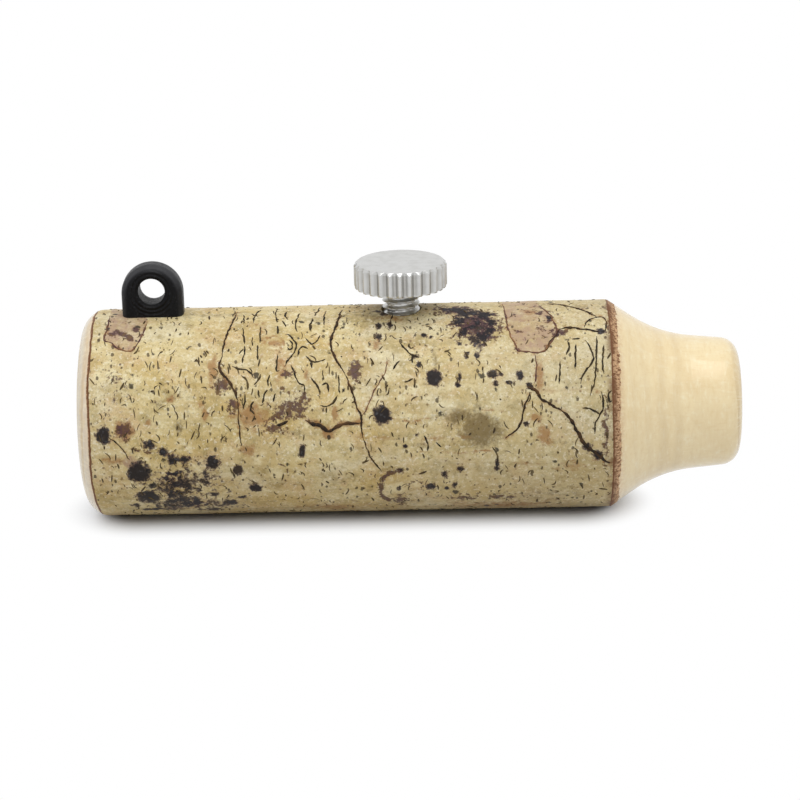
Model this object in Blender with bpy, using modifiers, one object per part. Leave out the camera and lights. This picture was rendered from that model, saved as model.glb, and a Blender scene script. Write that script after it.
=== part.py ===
"""Roe deer call: a bark covered branch turned to a mouthpiece, with a tunable reed inside.

Lengths are metres. The call lies on its side with +X towards the mouthpiece and +Z up.
Stations run along the call's axis from the outlet end, and heights run up from that axis.
"""

import math

import bmesh
import bpy
from mathutils import Matrix, Vector

MM = 0.001

# The turned branch
CALL_LENGTH = 70.8 * MM
BARK_DIAMETER = 22.5 * MM
BARK_THICKNESS = 0.6 * MM
OUTLET_ROUNDING = 2.3 * MM
MOUTHPIECE_LENGTH = 14.1 * MM
MOUTH_DIAMETER = 13.5 * MM
SHOULDER_ANGLE = math.radians(33.4)
NECK_TAPER = math.radians(5.4)
NECK_SWEEP_RADIUS = 14.0 * MM
MOUTH_ROUNDING = 2.0 * MM
CHAMBER_DIAMETER = 11.0 * MM
MOUTH_BORE_DIAMETER = 7.0 * MM
LIP_ROUNDING = 0.5 * MM

# The tuning screw, an M4 thumb screw that turns in a tapped hole in the wood
SCREW_STATION = 34.5 * MM
THREAD_DIAMETER = 4.0 * MM
THREAD_PITCH = 0.7 * MM
THREAD_DEPTH = 0.43 * MM
THREAD_CREST = THREAD_PITCH / 8
THREAD_ROOT = THREAD_PITCH / 4
NECK_DIAMETER = 3.5 * MM
NECK_LENGTH = 0.9 * MM
NECK_RUNOUT = 0.2 * MM
HEAD_LIFT = 2.75 * MM
HEAD_DIAMETER = 10.0 * MM
HEAD_HEIGHT = 2.45 * MM
HEAD_CHAMFER = 0.4 * MM
KNURL_COUNT = 30
KNURL_DEPTH = 0.32 * MM

# The pad on the screw's tip
PAD_DIAMETER = 2.8 * MM
PAD_HEIGHT = 1.3 * MM
PAD_CROWN = 0.35 * MM
SPIGOT_DIAMETER = 1.6 * MM
SPIGOT_LENGTH = 1.4 * MM

# The reed and the tone bar that carries it
REED_REACH = 10.0 * MM
REED_LENGTH = 18.0 * MM
REED_GRIP = 2.2 * MM
REED_WIDTH = 5.6 * MM
REED_THICKNESS = 0.3 * MM
REED_TIP_SHARE = 0.7
BED_HEIGHT = 0.4 * MM
BED_SLOPE = math.radians(4.4)
BASE_LENGTH = 9.0 * MM
BAR_INSET = 0.3 * MM
BAR_OVERHANG = 2.5 * MM
TROUGH_WIDTH = 3.0 * MM
TROUGH_START = 1.2 * MM
TROUGH_END_WALL = 2.0 * MM
AIR_BORE_DIAMETER = 3.4 * MM
AIR_BORE_DROP = 1.7 * MM
WEDGE_LENGTH = 6.0 * MM
SEAL_SECTION = 1.2 * MM
CHAMBER_END_ROOM = 3.0 * MM

# The lanyard eye
EYE_STATION = 7.8 * MM
EYE_WIDTH = 6.6 * MM
EYE_THICKNESS = 2.9 * MM
EYE_HOLE_DIAMETER = 2.85 * MM
EYE_HOLE_HEIGHT = 2.73 * MM
EYE_CROWN_WALL = 1.45 * MM
EYE_ROUNDING = 0.5 * MM
PEG_DIAMETER = 2.2 * MM
PEG_END_WALL = 1.2 * MM

# Clearances
BARK_GAP = 0.1 * MM
SEAT_GAP = 0.15 * MM
RUN_GAP = 0.2 * MM

# Fineness of round shapes
BODY_FACETS = 48
SMALL_FACETS = 32
THREAD_STEPS = 24
KNURL_POINTS = 6
SEAL_POINTS = 8
CROWN_STEPS = 4
EYE_EDGE_STEPS = 3
EYE_EDGE_ANGLE = math.radians(60)
ARC_ERROR = 0.02 * MM
SHARP_ANGLE = math.radians(35)
WELD_DISTANCE = 0.001 * MM
CUT_MARGIN = 1.0 * MM
ROUNDING_SHARE = 0.9

# Sizes that follow from those above
BARK_RADIUS = BARK_DIAMETER / 2
BARK_BED_RADIUS = BARK_RADIUS - BARK_THICKNESS
WOOD_RADIUS = BARK_BED_RADIUS - BARK_GAP
CHAMBER_RADIUS = CHAMBER_DIAMETER / 2
MOUTH_BORE_RADIUS = MOUTH_BORE_DIAMETER / 2
AXIS_HEIGHT = BARK_RADIUS * math.cos(math.pi / BODY_FACETS)
PIVOT_STATION = SCREW_STATION - REED_REACH
REED_BOTTOM = BED_HEIGHT + RUN_GAP
REED_TOP = REED_BOTTOM + REED_THICKNESS
REED_TIP_STATION = PIVOT_STATION + REED_LENGTH
BAR_TIP_STATION = REED_TIP_STATION + BAR_OVERHANG
CHAMBER_END = BAR_TIP_STATION + CHAMBER_END_ROOM
WEDGE_FLOOR = REED_TOP + RUN_GAP
WEDGE_START = PIVOT_STATION - WEDGE_LENGTH
BASE_END = WEDGE_START - SEAT_GAP
BASE_START = BASE_END - BASE_LENGTH
CARRIER_RADIUS = CHAMBER_RADIUS - SEAT_GAP
PAD_BOTTOM = REED_TOP + RUN_GAP
PAD_TOP = PAD_BOTTOM + PAD_HEIGHT
SPIGOT_TOP = PAD_TOP + SPIGOT_LENGTH
SCREW_TIP = PAD_TOP + RUN_GAP
HEAD_BOTTOM = BARK_RADIUS + HEAD_LIFT
HEAD_TOP = HEAD_BOTTOM + HEAD_HEIGHT
PEG_BOTTOM = CHAMBER_RADIUS + PEG_END_WALL + SEAT_GAP
SEAL_CENTRE_RADIUS = CHAMBER_RADIUS - SEAT_GAP - SEAL_SECTION / 2


def clear_scene():
    for obj in list(bpy.data.objects):
        bpy.data.objects.remove(obj, do_unlink=True)


def collection(name):
    group = bpy.data.collections.new(name)
    bpy.context.scene.collection.children.link(group)
    return group


def empty(name, group, location, rotation):
    """A bare axis that pieces are parented to."""
    axis = bpy.data.objects.new(name, None)
    axis.empty_display_size = BARK_RADIUS
    axis.location = location
    axis.rotation_euler = rotation
    group.objects.link(axis)
    return axis


def material(name, colour, roughness, metallic=0.0):
    finish = bpy.data.materials.new(name)
    finish.use_nodes = True
    shader = finish.node_tree.nodes["Principled BSDF"]
    shader.inputs["Base Color"].default_value = (*colour, 1.0)
    shader.inputs["Roughness"].default_value = roughness
    shader.inputs["Metallic"].default_value = metallic
    finish.diffuse_color = (*colour, 1.0)
    return finish


def rounded(corners):
    """The outline through corners (a, b, radius), with an arc of that radius at each corner."""
    outline = []
    for i, (a, b, radius) in enumerate(corners):
        corner = Vector((a, b))
        if radius == 0:
            outline.append(corner)
            continue
        back = (Vector(corners[i - 1][:2]) - corner).normalized()
        ahead = (Vector(corners[(i + 1) % len(corners)][:2]) - corner).normalized()
        half_angle = back.angle(ahead) / 2
        centre = corner + (back + ahead).normalized() * radius / math.sin(half_angle)
        start = corner + back * radius / math.tan(half_angle) - centre
        end = corner + ahead * radius / math.tan(half_angle) - centre
        sweep = math.atan2(start.cross(end), start.dot(end))
        chord_angle = 2 * math.acos(1 - ARC_ERROR / radius)
        steps = math.ceil(abs(sweep) / chord_angle)
        for step in range(steps + 1):
            outline.append(centre + Matrix.Rotation(sweep * step / steps, 2) @ start)
    return outline


def crossings(outline, radius):
    """Where an outline of (radius, station) points rises over a radius and falls below it again."""
    found = []
    for i, (first, second) in enumerate(zip(outline, outline[1:])):
        if (first.x < radius) != (second.x < radius):
            share = (radius - first.x) / (second.x - first.x)
            found.append((i, first.lerp(second, share)))
    return found


def place(obj, group, parent):
    group.objects.link(obj)
    obj.parent = parent
    return obj


def turned(name, outline, facets, ring=False):
    """A solid turned from (radius, station) points, listed down its outer side. A ring is bored through."""
    turn = math.pi / facets
    points = [(r * math.cos(turn), r * math.sin(turn), s) for r, s in outline]
    edges = [(i, i + 1) for i in range(len(points) - 1)]
    if ring:
        edges.append((len(points) - 1, 0))
    profile = bpy.data.meshes.new(name)
    profile.from_pydata(points, edges, [])
    obj = bpy.data.objects.new(name, profile)
    screw = obj.modifiers.new("turn", "SCREW")
    screw.axis = "Z"
    screw.steps = facets
    screw.render_steps = facets
    screw.use_merge_vertices = True
    screw.merge_threshold = WELD_DISTANCE
    return obj


def rod(name, radius, low, high, facets=SMALL_FACETS):
    return turned(name, [(0, high), (radius, high), (radius, low), (0, low)], facets)


def plate(name, outlines, thickness):
    """A flat solid with the given outer outline, and holes, extruded evenly to both sides."""
    curve = bpy.data.curves.new(name, "CURVE")
    curve.dimensions = "2D"
    curve.fill_mode = "BOTH"
    curve.extrude = thickness / 2
    for outline in outlines:
        spline = curve.splines.new("POLY")
        spline.points.add(len(outline) - 1)
        spline.use_cyclic_u = True
        for point, (a, b) in zip(spline.points, outline):
            point.co = (a, b, 0, 1)
    flat = bpy.data.objects.new(name, curve)
    bpy.context.scene.collection.objects.link(flat)
    graph = bpy.context.evaluated_depsgraph_get()
    mesh = bpy.data.meshes.new_from_object(flat.evaluated_get(graph))
    bpy.data.objects.remove(flat)
    welded = bmesh.new()
    welded.from_mesh(mesh)
    bmesh.ops.remove_doubles(welded, verts=welded.verts, dist=WELD_DISTANCE)
    bmesh.ops.recalc_face_normals(welded, faces=welded.faces)
    welded.to_mesh(mesh)
    welded.free()
    mesh.name = name
    return bpy.data.objects.new(name, mesh)


def rectangle(left, bottom, right, top):
    return [(left, bottom), (right, bottom), (right, top), (left, top)]


def circle(radius, points):
    angles = [2 * math.pi * i / points for i in range(points)]
    return [(radius * math.cos(angle), radius * math.sin(angle)) for angle in angles]


def combine(obj, tool, operation):
    """Cut a tool from a piece, or join it to the piece. The tool stays as a hidden helper."""
    tool.hide_render = True
    tool.display_type = "WIRE"
    boolean = obj.modifiers.new(tool.name, "BOOLEAN")
    boolean.operation = operation
    boolean.object = tool


def finish_piece(obj, finish):
    """Make the modifiers part of the mesh, shade its round faces smooth and give it its finish."""
    graph = bpy.context.evaluated_depsgraph_get()
    mesh = bpy.data.meshes.new_from_object(obj.evaluated_get(graph))
    mesh.name = obj.name
    obj.modifiers.clear()
    obj.data = mesh
    mesh.shade_smooth()
    mesh.set_sharp_from_angle(angle=SHARP_ANGLE)
    mesh.materials.clear()
    mesh.materials.append(finish)


def branch_outline():
    """The outside of the turned branch with its bark, from the mouth end down to the outlet end."""
    shoulder = CALL_LENGTH - MOUTHPIECE_LENGTH
    cone_slope = math.tan(SHOULDER_ANGLE)
    neck_slope = math.tan(NECK_TAPER)
    mouth_radius = MOUTH_DIAMETER / 2
    fall = BARK_RADIUS - mouth_radius - neck_slope * MOUTHPIECE_LENGTH
    throat = fall / (cone_slope - neck_slope)
    mouth_wall = mouth_radius - MOUTH_BORE_RADIUS - LIP_ROUNDING
    mouth_rounding = min(MOUTH_ROUNDING, ROUNDING_SHARE * mouth_wall)
    cone_length = throat / math.cos(SHOULDER_ANGLE)
    longest_sweep = ROUNDING_SHARE * cone_length / math.tan((SHOULDER_ANGLE - NECK_TAPER) / 2)
    sweep = min(NECK_SWEEP_RADIUS, longest_sweep)
    outline = rounded(
        [
            (MOUTH_BORE_RADIUS, CALL_LENGTH, 0),
            (mouth_radius, CALL_LENGTH, mouth_rounding),
            (BARK_RADIUS - cone_slope * throat, shoulder + throat, sweep),
            (BARK_RADIUS, shoulder, 0),
            (BARK_RADIUS, 0, OUTLET_ROUNDING),
            (CHAMBER_RADIUS, 0, 0),
        ]
    )
    return outline


def make_wooden_body(group, axes, tools, finish):
    outline = branch_outline()
    (first, edge_above), (last, edge_below) = crossings(outline[1:-1], WOOD_RADIUS)
    bore = rounded(
        [
            (WOOD_RADIUS, 0, 0),
            (CHAMBER_RADIUS, 0, LIP_ROUNDING),
            (CHAMBER_RADIUS, CHAMBER_END, LIP_ROUNDING),
            (MOUTH_BORE_RADIUS, CHAMBER_END, LIP_ROUNDING),
            (MOUTH_BORE_RADIUS, CALL_LENGTH, LIP_ROUNDING),
            (WOOD_RADIUS, CALL_LENGTH, 0),
        ]
    )
    outside = outline[1 : first + 2] + [edge_above, edge_below] + outline[last + 2 : -1]
    body = turned("wooden_body", outside + bore[1:-1], BODY_FACETS, ring=True)
    place(body, group, axes["call"])
    combine(body, tools["screw_hole"], "DIFFERENCE")
    combine(body, tools["peg_hole"], "DIFFERENCE")
    finish_piece(body, finish)


def make_bark_sleeve(group, axes, tools, finish):
    outline = branch_outline()
    (first, edge_above), (last, edge_below) = crossings(outline[1:-1], BARK_BED_RADIUS)
    section = [edge_above] + outline[first + 2 : last + 2] + [edge_below]
    sleeve = turned("bark_sleeve", section, BODY_FACETS, ring=True)
    place(sleeve, group, axes["call"])
    combine(sleeve, tools["screw_hole"], "DIFFERENCE")
    combine(sleeve, tools["peg_hole"], "DIFFERENCE")
    finish_piece(sleeve, finish)


def make_hole_tools(helpers, axes):
    """The holes that the screw turns in and the eye's peg sits in."""
    screw_hole = rod("screw_hole", THREAD_DIAMETER / 2 + RUN_GAP, 0, HEAD_BOTTOM)
    place(screw_hole, helpers, axes["screw"])
    peg_hole = rod("peg_hole", PEG_DIAMETER / 2 + SEAT_GAP, PEG_BOTTOM - SEAT_GAP, HEAD_BOTTOM)
    place(peg_hole, helpers, axes["eye"])
    return {"screw_hole": screw_hole, "peg_hole": peg_hole}


def make_lanyard_eye(group, helpers, axes, finish):
    """A moulded eye with a saddle foot on the bark and a peg glued into the wood."""
    crown = BARK_RADIUS + EYE_HOLE_HEIGHT + EYE_HOLE_DIAMETER / 2 + EYE_CROWN_WALL
    foot = BARK_RADIUS - CUT_MARGIN
    side = EYE_WIDTH / 2
    arch = rounded([(-side, foot, 0), (side, foot, 0), (side, crown, side), (-side, crown, side)])
    eye = plate("lanyard_eye", [arch], EYE_THICKNESS)
    place(eye, group, axes["eye_side"])
    edge = eye.modifiers.new("rounding", "BEVEL")
    edge.width = EYE_ROUNDING
    edge.segments = EYE_EDGE_STEPS
    edge.limit_method = "ANGLE"
    edge.angle_limit = EYE_EDGE_ANGLE
    edge.use_clamp_overlap = False
    hole = rod("eye_hole", EYE_HOLE_DIAMETER / 2, -EYE_THICKNESS, EYE_THICKNESS)
    hole.location.y = BARK_RADIUS + EYE_HOLE_HEIGHT
    combine(eye, place(hole, helpers, axes["eye_side"]), "DIFFERENCE")
    saddle = rod("eye_saddle", BARK_RADIUS + BARK_GAP, 0, CALL_LENGTH, BODY_FACETS)
    combine(eye, place(saddle, helpers, axes["call"]), "DIFFERENCE")
    peg = rod("eye_peg", PEG_DIAMETER / 2, PEG_BOTTOM, BARK_RADIUS + CUT_MARGIN)
    combine(eye, place(peg, helpers, axes["eye"]), "UNION")
    finish_piece(eye, finish)


def knurl_outline():
    """Rounded ridges with sharp valleys between them."""
    outline = []
    total = KNURL_COUNT * KNURL_POINTS
    for i in range(total):
        angle = 2 * math.pi * i / total
        ridge = abs(math.cos(KNURL_COUNT * angle / 2))
        radius = HEAD_DIAMETER / 2 - KNURL_DEPTH * (1 - ridge)
        outline.append((radius * math.cos(angle), radius * math.sin(angle)))
    return outline


def make_thread(helpers, axes):
    """A right-hand thread wound from one pitch of its profile, and cut flat at both ends of the shank."""
    crest = THREAD_DIAMETER / 2
    root = crest - THREAD_DEPTH
    flank = (THREAD_PITCH - THREAD_CREST - THREAD_ROOT) / 2
    thread_top = HEAD_BOTTOM - NECK_LENGTH
    start = SCREW_TIP - 2 * THREAD_PITCH
    turns = math.ceil((thread_top - start) / THREAD_PITCH) + 1
    rises = (0, THREAD_ROOT, THREAD_ROOT + flank, THREAD_ROOT + flank + THREAD_CREST, THREAD_PITCH)
    points = [(r, 0, start + z) for r, z in zip((root, root, crest, crest, root), rises)]
    profile = bpy.data.meshes.new("thread")
    profile.from_pydata(points, [(i, i + 1) for i in range(len(points) - 1)], [])
    thread = place(bpy.data.objects.new("thread", profile), helpers, axes["screw"])
    winding = thread.modifiers.new("winding", "SCREW")
    winding.axis = "Z"
    winding.screw_offset = THREAD_PITCH
    winding.iterations = turns
    winding.steps = THREAD_STEPS
    winding.render_steps = THREAD_STEPS
    wound = bmesh.new()
    wound.from_object(thread, bpy.context.evaluated_depsgraph_get())
    bmesh.ops.remove_doubles(wound, verts=wound.verts, dist=WELD_DISTANCE)
    for height, outward in ((SCREW_TIP, -1), (thread_top, 1)):
        everything = [*wound.verts, *wound.edges, *wound.faces]
        cut = {"plane_co": (0, 0, height), "plane_no": (0, 0, outward)}
        bmesh.ops.bisect_plane(wound, geom=everything, clear_outer=True, dist=WELD_DISTANCE, **cut)
    bmesh.ops.holes_fill(wound, edges=wound.edges)
    bmesh.ops.recalc_face_normals(wound, faces=wound.faces)
    thread.modifiers.clear()
    wound.to_mesh(profile)
    wound.free()
    return thread


def make_tuning_screw(group, helpers, axes, finish):
    """A thumb screw: chamfered knurled head, plain neck, threaded shank, and a blind hole for the pad."""
    head = HEAD_DIAMETER / 2
    neck = NECK_DIAMETER / 2
    neck_end = HEAD_BOTTOM - NECK_LENGTH - NECK_RUNOUT
    outline = [
        (0, HEAD_TOP),
        (head - HEAD_CHAMFER, HEAD_TOP),
        (head, HEAD_TOP - HEAD_CHAMFER),
        (head, HEAD_BOTTOM + HEAD_CHAMFER),
        (head - HEAD_CHAMFER, HEAD_BOTTOM),
        (neck, HEAD_BOTTOM),
        (neck, neck_end),
        (0, neck_end),
    ]
    screw = turned("tuning_screw", outline, KNURL_COUNT * 2)
    place(screw, group, axes["screw"])
    combine(screw, make_thread(helpers, axes), "UNION")
    socket = SPIGOT_DIAMETER / 2 + RUN_GAP
    pad_socket = rod("pad_socket", socket, SCREW_TIP - CUT_MARGIN, SPIGOT_TOP + RUN_GAP)
    combine(screw, place(pad_socket, helpers, axes["screw"]), "DIFFERENCE")
    rim = circle(head + CUT_MARGIN, KNURL_COUNT)
    flutes = plate("knurl_flutes", [rim, knurl_outline()], HEAD_HEIGHT + CUT_MARGIN)
    flutes.location.z = (HEAD_BOTTOM + HEAD_TOP) / 2
    combine(screw, place(flutes, helpers, axes["screw"]), "DIFFERENCE")
    finish_piece(screw, finish)


def make_pressure_pad(group, axes, finish):
    """A crowned pad that stays still on the reed while the screw turns on its spigot."""
    pad = PAD_DIAMETER / 2
    spigot = SPIGOT_DIAMETER / 2
    crown_radius = (pad**2 + PAD_CROWN**2) / (2 * PAD_CROWN)
    outline = [(0, SPIGOT_TOP), (spigot, SPIGOT_TOP), (spigot, PAD_TOP), (pad, PAD_TOP)]
    for step in range(CROWN_STEPS + 1):
        radius = pad * (1 - step / CROWN_STEPS)
        rise = crown_radius - math.sqrt(crown_radius**2 - radius**2)
        outline.append((radius, PAD_BOTTOM + rise))
    pressure_pad = turned("pressure_pad", outline, SMALL_FACETS)
    finish_piece(place(pressure_pad, group, axes["screw"]), finish)


def make_reed(group, axes, finish):
    """A flat tongue with a rounded tip. Its origin is on the edge that it bends at."""
    side = REED_WIDTH / 2
    tip = REED_TIP_SHARE * side
    tongue = rounded(
        [
            (-REED_GRIP, -side, 0),
            (REED_LENGTH, -side, tip),
            (REED_LENGTH, side, tip),
            (-REED_GRIP, side, 0),
        ]
    )
    reed = plate("reed", [tongue], REED_THICKNESS)
    finish_piece(place(reed, group, axes["reed"]), finish)


def make_reed_carrier(group, helpers, axes, finish):
    """The tone bar: a sealed round base, and a half round bar with a sloping bed and an air trough."""
    bar_radius = CARRIER_RADIUS - BAR_INSET
    groove_radius = SEAL_CENTRE_RADIUS - SEAL_SECTION / 2 - SEAT_GAP
    groove_half = SEAL_SECTION / 2 + SEAT_GAP
    groove_middle = (BASE_START + BASE_END) / 2
    outline = [
        (0, BAR_TIP_STATION),
        (bar_radius - BAR_INSET, BAR_TIP_STATION),
        (bar_radius, BAR_TIP_STATION - BAR_INSET),
        (bar_radius, PIVOT_STATION),
        (CARRIER_RADIUS, PIVOT_STATION - BAR_INSET),
        (CARRIER_RADIUS, groove_middle + groove_half),
        (groove_radius, groove_middle + groove_half),
        (groove_radius, groove_middle - groove_half),
        (CARRIER_RADIUS, groove_middle - groove_half),
        (CARRIER_RADIUS, BASE_START),
        (0, BASE_START),
    ]
    carrier = turned("reed_carrier", outline, BODY_FACETS)
    place(carrier, group, axes["call"])
    past_tip = BAR_TIP_STATION + CUT_MARGIN
    roof = CHAMBER_RADIUS + CUT_MARGIN
    stop_station = PIVOT_STATION - REED_GRIP - SEAT_GAP
    bed_end = BED_HEIGHT - (past_tip - PIVOT_STATION) * math.tan(BED_SLOPE)
    bed = [
        (BASE_END, roof),
        (BASE_END, WEDGE_FLOOR - SEAT_GAP),
        (stop_station, WEDGE_FLOOR - SEAT_GAP),
        (stop_station, BED_HEIGHT),
        (PIVOT_STATION, BED_HEIGHT),
        (past_tip, bed_end),
        (past_tip, roof),
    ]
    above_bed = plate("above_bed", [bed], CHAMBER_DIAMETER + CUT_MARGIN)
    combine(carrier, place(above_bed, helpers, axes["side"]), "DIFFERENCE")
    trough_floor = -AIR_BORE_DROP - AIR_BORE_DIAMETER / 2
    trough_start = PIVOT_STATION + TROUGH_START
    trough_end = BAR_TIP_STATION - TROUGH_END_WALL
    slot = rectangle(trough_start, trough_floor, trough_end, roof)
    trough = plate("air_trough", [slot], TROUGH_WIDTH)
    combine(carrier, place(trough, helpers, axes["side"]), "DIFFERENCE")
    bore_end = trough_start + CUT_MARGIN
    air_bore = rod("air_bore", AIR_BORE_DIAMETER / 2, BASE_START - CUT_MARGIN, bore_end)
    air_bore.location.x = AIR_BORE_DROP
    combine(carrier, place(air_bore, helpers, axes["call"]), "DIFFERENCE")
    finish_piece(carrier, finish)


def make_reed_wedge(group, helpers, axes, finish):
    """A half moon block pressed in above the reed's root."""
    wedge = rod("reed_wedge", CARRIER_RADIUS, WEDGE_START, PIVOT_STATION, BODY_FACETS)
    place(wedge, group, axes["call"])
    below = rectangle(BASE_START, -CHAMBER_DIAMETER, BAR_TIP_STATION, WEDGE_FLOOR)
    below_wedge = plate("below_wedge", [below], CHAMBER_DIAMETER + CUT_MARGIN)
    combine(wedge, place(below_wedge, helpers, axes["side"]), "DIFFERENCE")
    finish_piece(wedge, finish)


def make_seal_ring(group, axes, finish):
    middle = (BASE_START + BASE_END) / 2
    section = circle(SEAL_SECTION / 2, SEAL_POINTS)
    outline = [(SEAL_CENTRE_RADIUS + a, middle - b) for a, b in section]
    ring = turned("seal_ring", outline, BODY_FACETS, ring=True)
    finish_piece(place(ring, group, axes["call"]), finish)


def make_axes(group):
    """The lines that pieces are placed on: the call's own axis, upright ones, and its side plane."""
    outlet = -CALL_LENGTH / 2
    upright = (math.pi / 2, 0, 0)
    screw_place = (outlet + SCREW_STATION, 0, AXIS_HEIGHT)
    eye_place = (outlet + EYE_STATION, 0, AXIS_HEIGHT)
    reed_height = AXIS_HEIGHT + REED_BOTTOM + REED_THICKNESS / 2
    reed_place = (outlet + PIVOT_STATION, 0, reed_height)
    return {
        "call": empty("call_axis", group, (outlet, 0, AXIS_HEIGHT), (0, math.pi / 2, 0)),
        "side": empty("side_plane", group, (outlet, 0, AXIS_HEIGHT), upright),
        "screw": empty("screw_axis", group, screw_place, (0, 0, 0)),
        "eye": empty("eye_axis", group, eye_place, (0, 0, 0)),
        "eye_side": empty("eye_plane", group, eye_place, upright),
        "reed": empty("reed_pivot", group, reed_place, (0, 0, 0)),
    }


def main():
    clear_scene()
    group = collection("roe_deer_call")
    helpers = collection("cutters")
    axes = make_axes(group)
    bpy.context.view_layer.update()
    tools = make_hole_tools(helpers, axes)
    turned_wood = material("turned_wood", (0.78, 0.62, 0.38), 0.35)
    bark = material("bark", (0.52, 0.44, 0.24), 0.45)
    black_plastic = material("black_plastic", (0.012, 0.012, 0.013), 0.4)
    steel = material("steel", (0.72, 0.71, 0.69), 0.28, 1.0)
    bronze = material("bronze", (0.62, 0.4, 0.2), 0.3, 1.0)
    nylon = material("nylon", (0.8, 0.79, 0.74), 0.45)
    bar_plastic = material("bar_plastic", (0.05, 0.05, 0.055), 0.5)
    cork = material("cork", (0.45, 0.29, 0.16), 0.8)
    seal_rubber = material("seal_rubber", (0.02, 0.02, 0.02), 0.6)
    make_wooden_body(group, axes, tools, turned_wood)
    make_bark_sleeve(group, axes, tools, bark)
    make_lanyard_eye(group, helpers, axes, black_plastic)
    make_tuning_screw(group, helpers, axes, steel)
    make_pressure_pad(group, axes, nylon)
    make_reed(group, axes, bronze)
    make_reed_carrier(group, helpers, axes, bar_plastic)
    make_reed_wedge(group, helpers, axes, cork)
    make_seal_ring(group, axes, seal_rubber)


main()
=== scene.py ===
"""Looks of a roe deer call.

A lichen covered branch is turned to a mouthpiece, and carries a tuning screw and a lanyard eye.
Lengths are metres. The call lies along X with its mouthpiece at +X, and the screw stands up in +Z.
Marks on the bark are given by pixels of the photograph, which the camera projects on the stem. There a place
is a length along X in millimetres and an angle in degrees: 0 is the top, 90 faces the camera, 180 is below.
"""

import math

import bmesh
import bpy
import numpy as np
from bpy.props import FloatProperty, FloatVectorProperty, IntProperty, PointerProperty
from mathutils import Matrix, Vector, noise


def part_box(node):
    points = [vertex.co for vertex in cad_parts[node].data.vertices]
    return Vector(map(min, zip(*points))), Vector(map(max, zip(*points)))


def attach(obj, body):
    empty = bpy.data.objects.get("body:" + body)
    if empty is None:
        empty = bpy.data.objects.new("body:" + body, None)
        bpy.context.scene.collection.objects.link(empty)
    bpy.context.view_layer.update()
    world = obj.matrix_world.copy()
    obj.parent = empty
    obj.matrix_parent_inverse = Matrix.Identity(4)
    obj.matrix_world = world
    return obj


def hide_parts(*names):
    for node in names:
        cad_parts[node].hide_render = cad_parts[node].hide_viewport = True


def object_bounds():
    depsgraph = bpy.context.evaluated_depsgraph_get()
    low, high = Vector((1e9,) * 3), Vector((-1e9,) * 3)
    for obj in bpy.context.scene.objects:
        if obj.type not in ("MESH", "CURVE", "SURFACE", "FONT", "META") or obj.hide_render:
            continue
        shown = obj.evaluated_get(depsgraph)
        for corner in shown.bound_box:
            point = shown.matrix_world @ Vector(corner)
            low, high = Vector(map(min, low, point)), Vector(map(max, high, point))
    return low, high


bl_info = {
    "name": "Roe Deer Call",
    "version": (1, 0, 0),
    "blender": (4, 5, 0),
    "location": "View3D > Sidebar > Deer Call",
    "description": "Builds the looks of a lichen barked roe deer call around its fixed frame",
    "category": "Add Mesh",
}

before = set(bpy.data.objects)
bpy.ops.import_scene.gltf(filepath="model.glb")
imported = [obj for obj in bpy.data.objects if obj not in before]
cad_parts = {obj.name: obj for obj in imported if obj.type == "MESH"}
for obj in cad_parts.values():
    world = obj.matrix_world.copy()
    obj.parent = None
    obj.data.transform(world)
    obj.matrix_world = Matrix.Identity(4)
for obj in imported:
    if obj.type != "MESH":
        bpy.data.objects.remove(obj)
CAD_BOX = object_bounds()

MM = 0.001
WOOD_LOW, WOOD_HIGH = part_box("wooden_body")
BARK_LOW, BARK_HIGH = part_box("bark_sleeve")
EYE_LOW, EYE_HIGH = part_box("lanyard_eye")
SCREW_LOW, SCREW_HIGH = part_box("tuning_screw")
AXIS_HEIGHT = (BARK_LOW.z + BARK_HIGH.z) / 2
SCREW_X = (SCREW_LOW.x + SCREW_HIGH.x) / 2
EYE_X = (EYE_LOW.x + EYE_HIGH.x) / 2
# Height of the middle of the hole in the lanyard eye
EYE_HOLE_HEIGHT = 25.206 * MM

# The marks on the bark lie where pixels of the photograph show them, in its frame of 800 by 800
PHOTO_SIDE = 800
# Dark lines where two lichens meet: half width in mm, then the pixels that the line runs through
BORDER_LINES = (
    (0.11, ((238, 312), (232, 324), (226, 336), (222, 357))),
    (0.16, ((222, 357), (218, 366), (222, 374), (232, 385), (238, 400))),
    (0.08, ((238, 400), (239, 424), (241, 443))),
    (0.15, ((342, 310), (338, 322), (332, 334), (330, 344), (335, 360), (345, 373))),
    (0.12, ((345, 373), (351, 388), (357, 408), (362, 417), (361, 425), (363, 437))),
    (0.08, ((363, 437), (368, 452), (373, 461), (382, 472))),
    (0.2, ((361, 423), (341, 423), (335, 428), (327, 432), (321, 425), (313, 425), (306, 420))),
    (0.22, ((277, 425), (282, 424), (288, 421))),
    (0.16, ((527, 387), (536, 390), (540, 398), (549, 403), (562, 411))),
    (0.2, ((562, 411), (572, 420), (578, 433), (586, 447), (595, 451), (603, 460), (610, 463))),
    (0.11, ((530, 392), (524, 408), (521, 427), (506, 438))),
    (0.1, ((547, 304), (562, 305), (582, 310), (597, 317))),
    (0.16, ((560, 329), (567, 327), (584, 329), (601, 332))),
    (0.1, ((536, 353), (543, 352), (548, 348), (550, 342), (555, 337), (560, 329))),
    (0.09, ((584, 327), (587, 320), (600, 316), (607, 320), (606, 331), (601, 332))),
    (0.08, ((107, 437), (117, 443), (124, 451), (129, 460))),
    (0.08, ((392, 315), (391, 320), (390, 326))),
)
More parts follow.
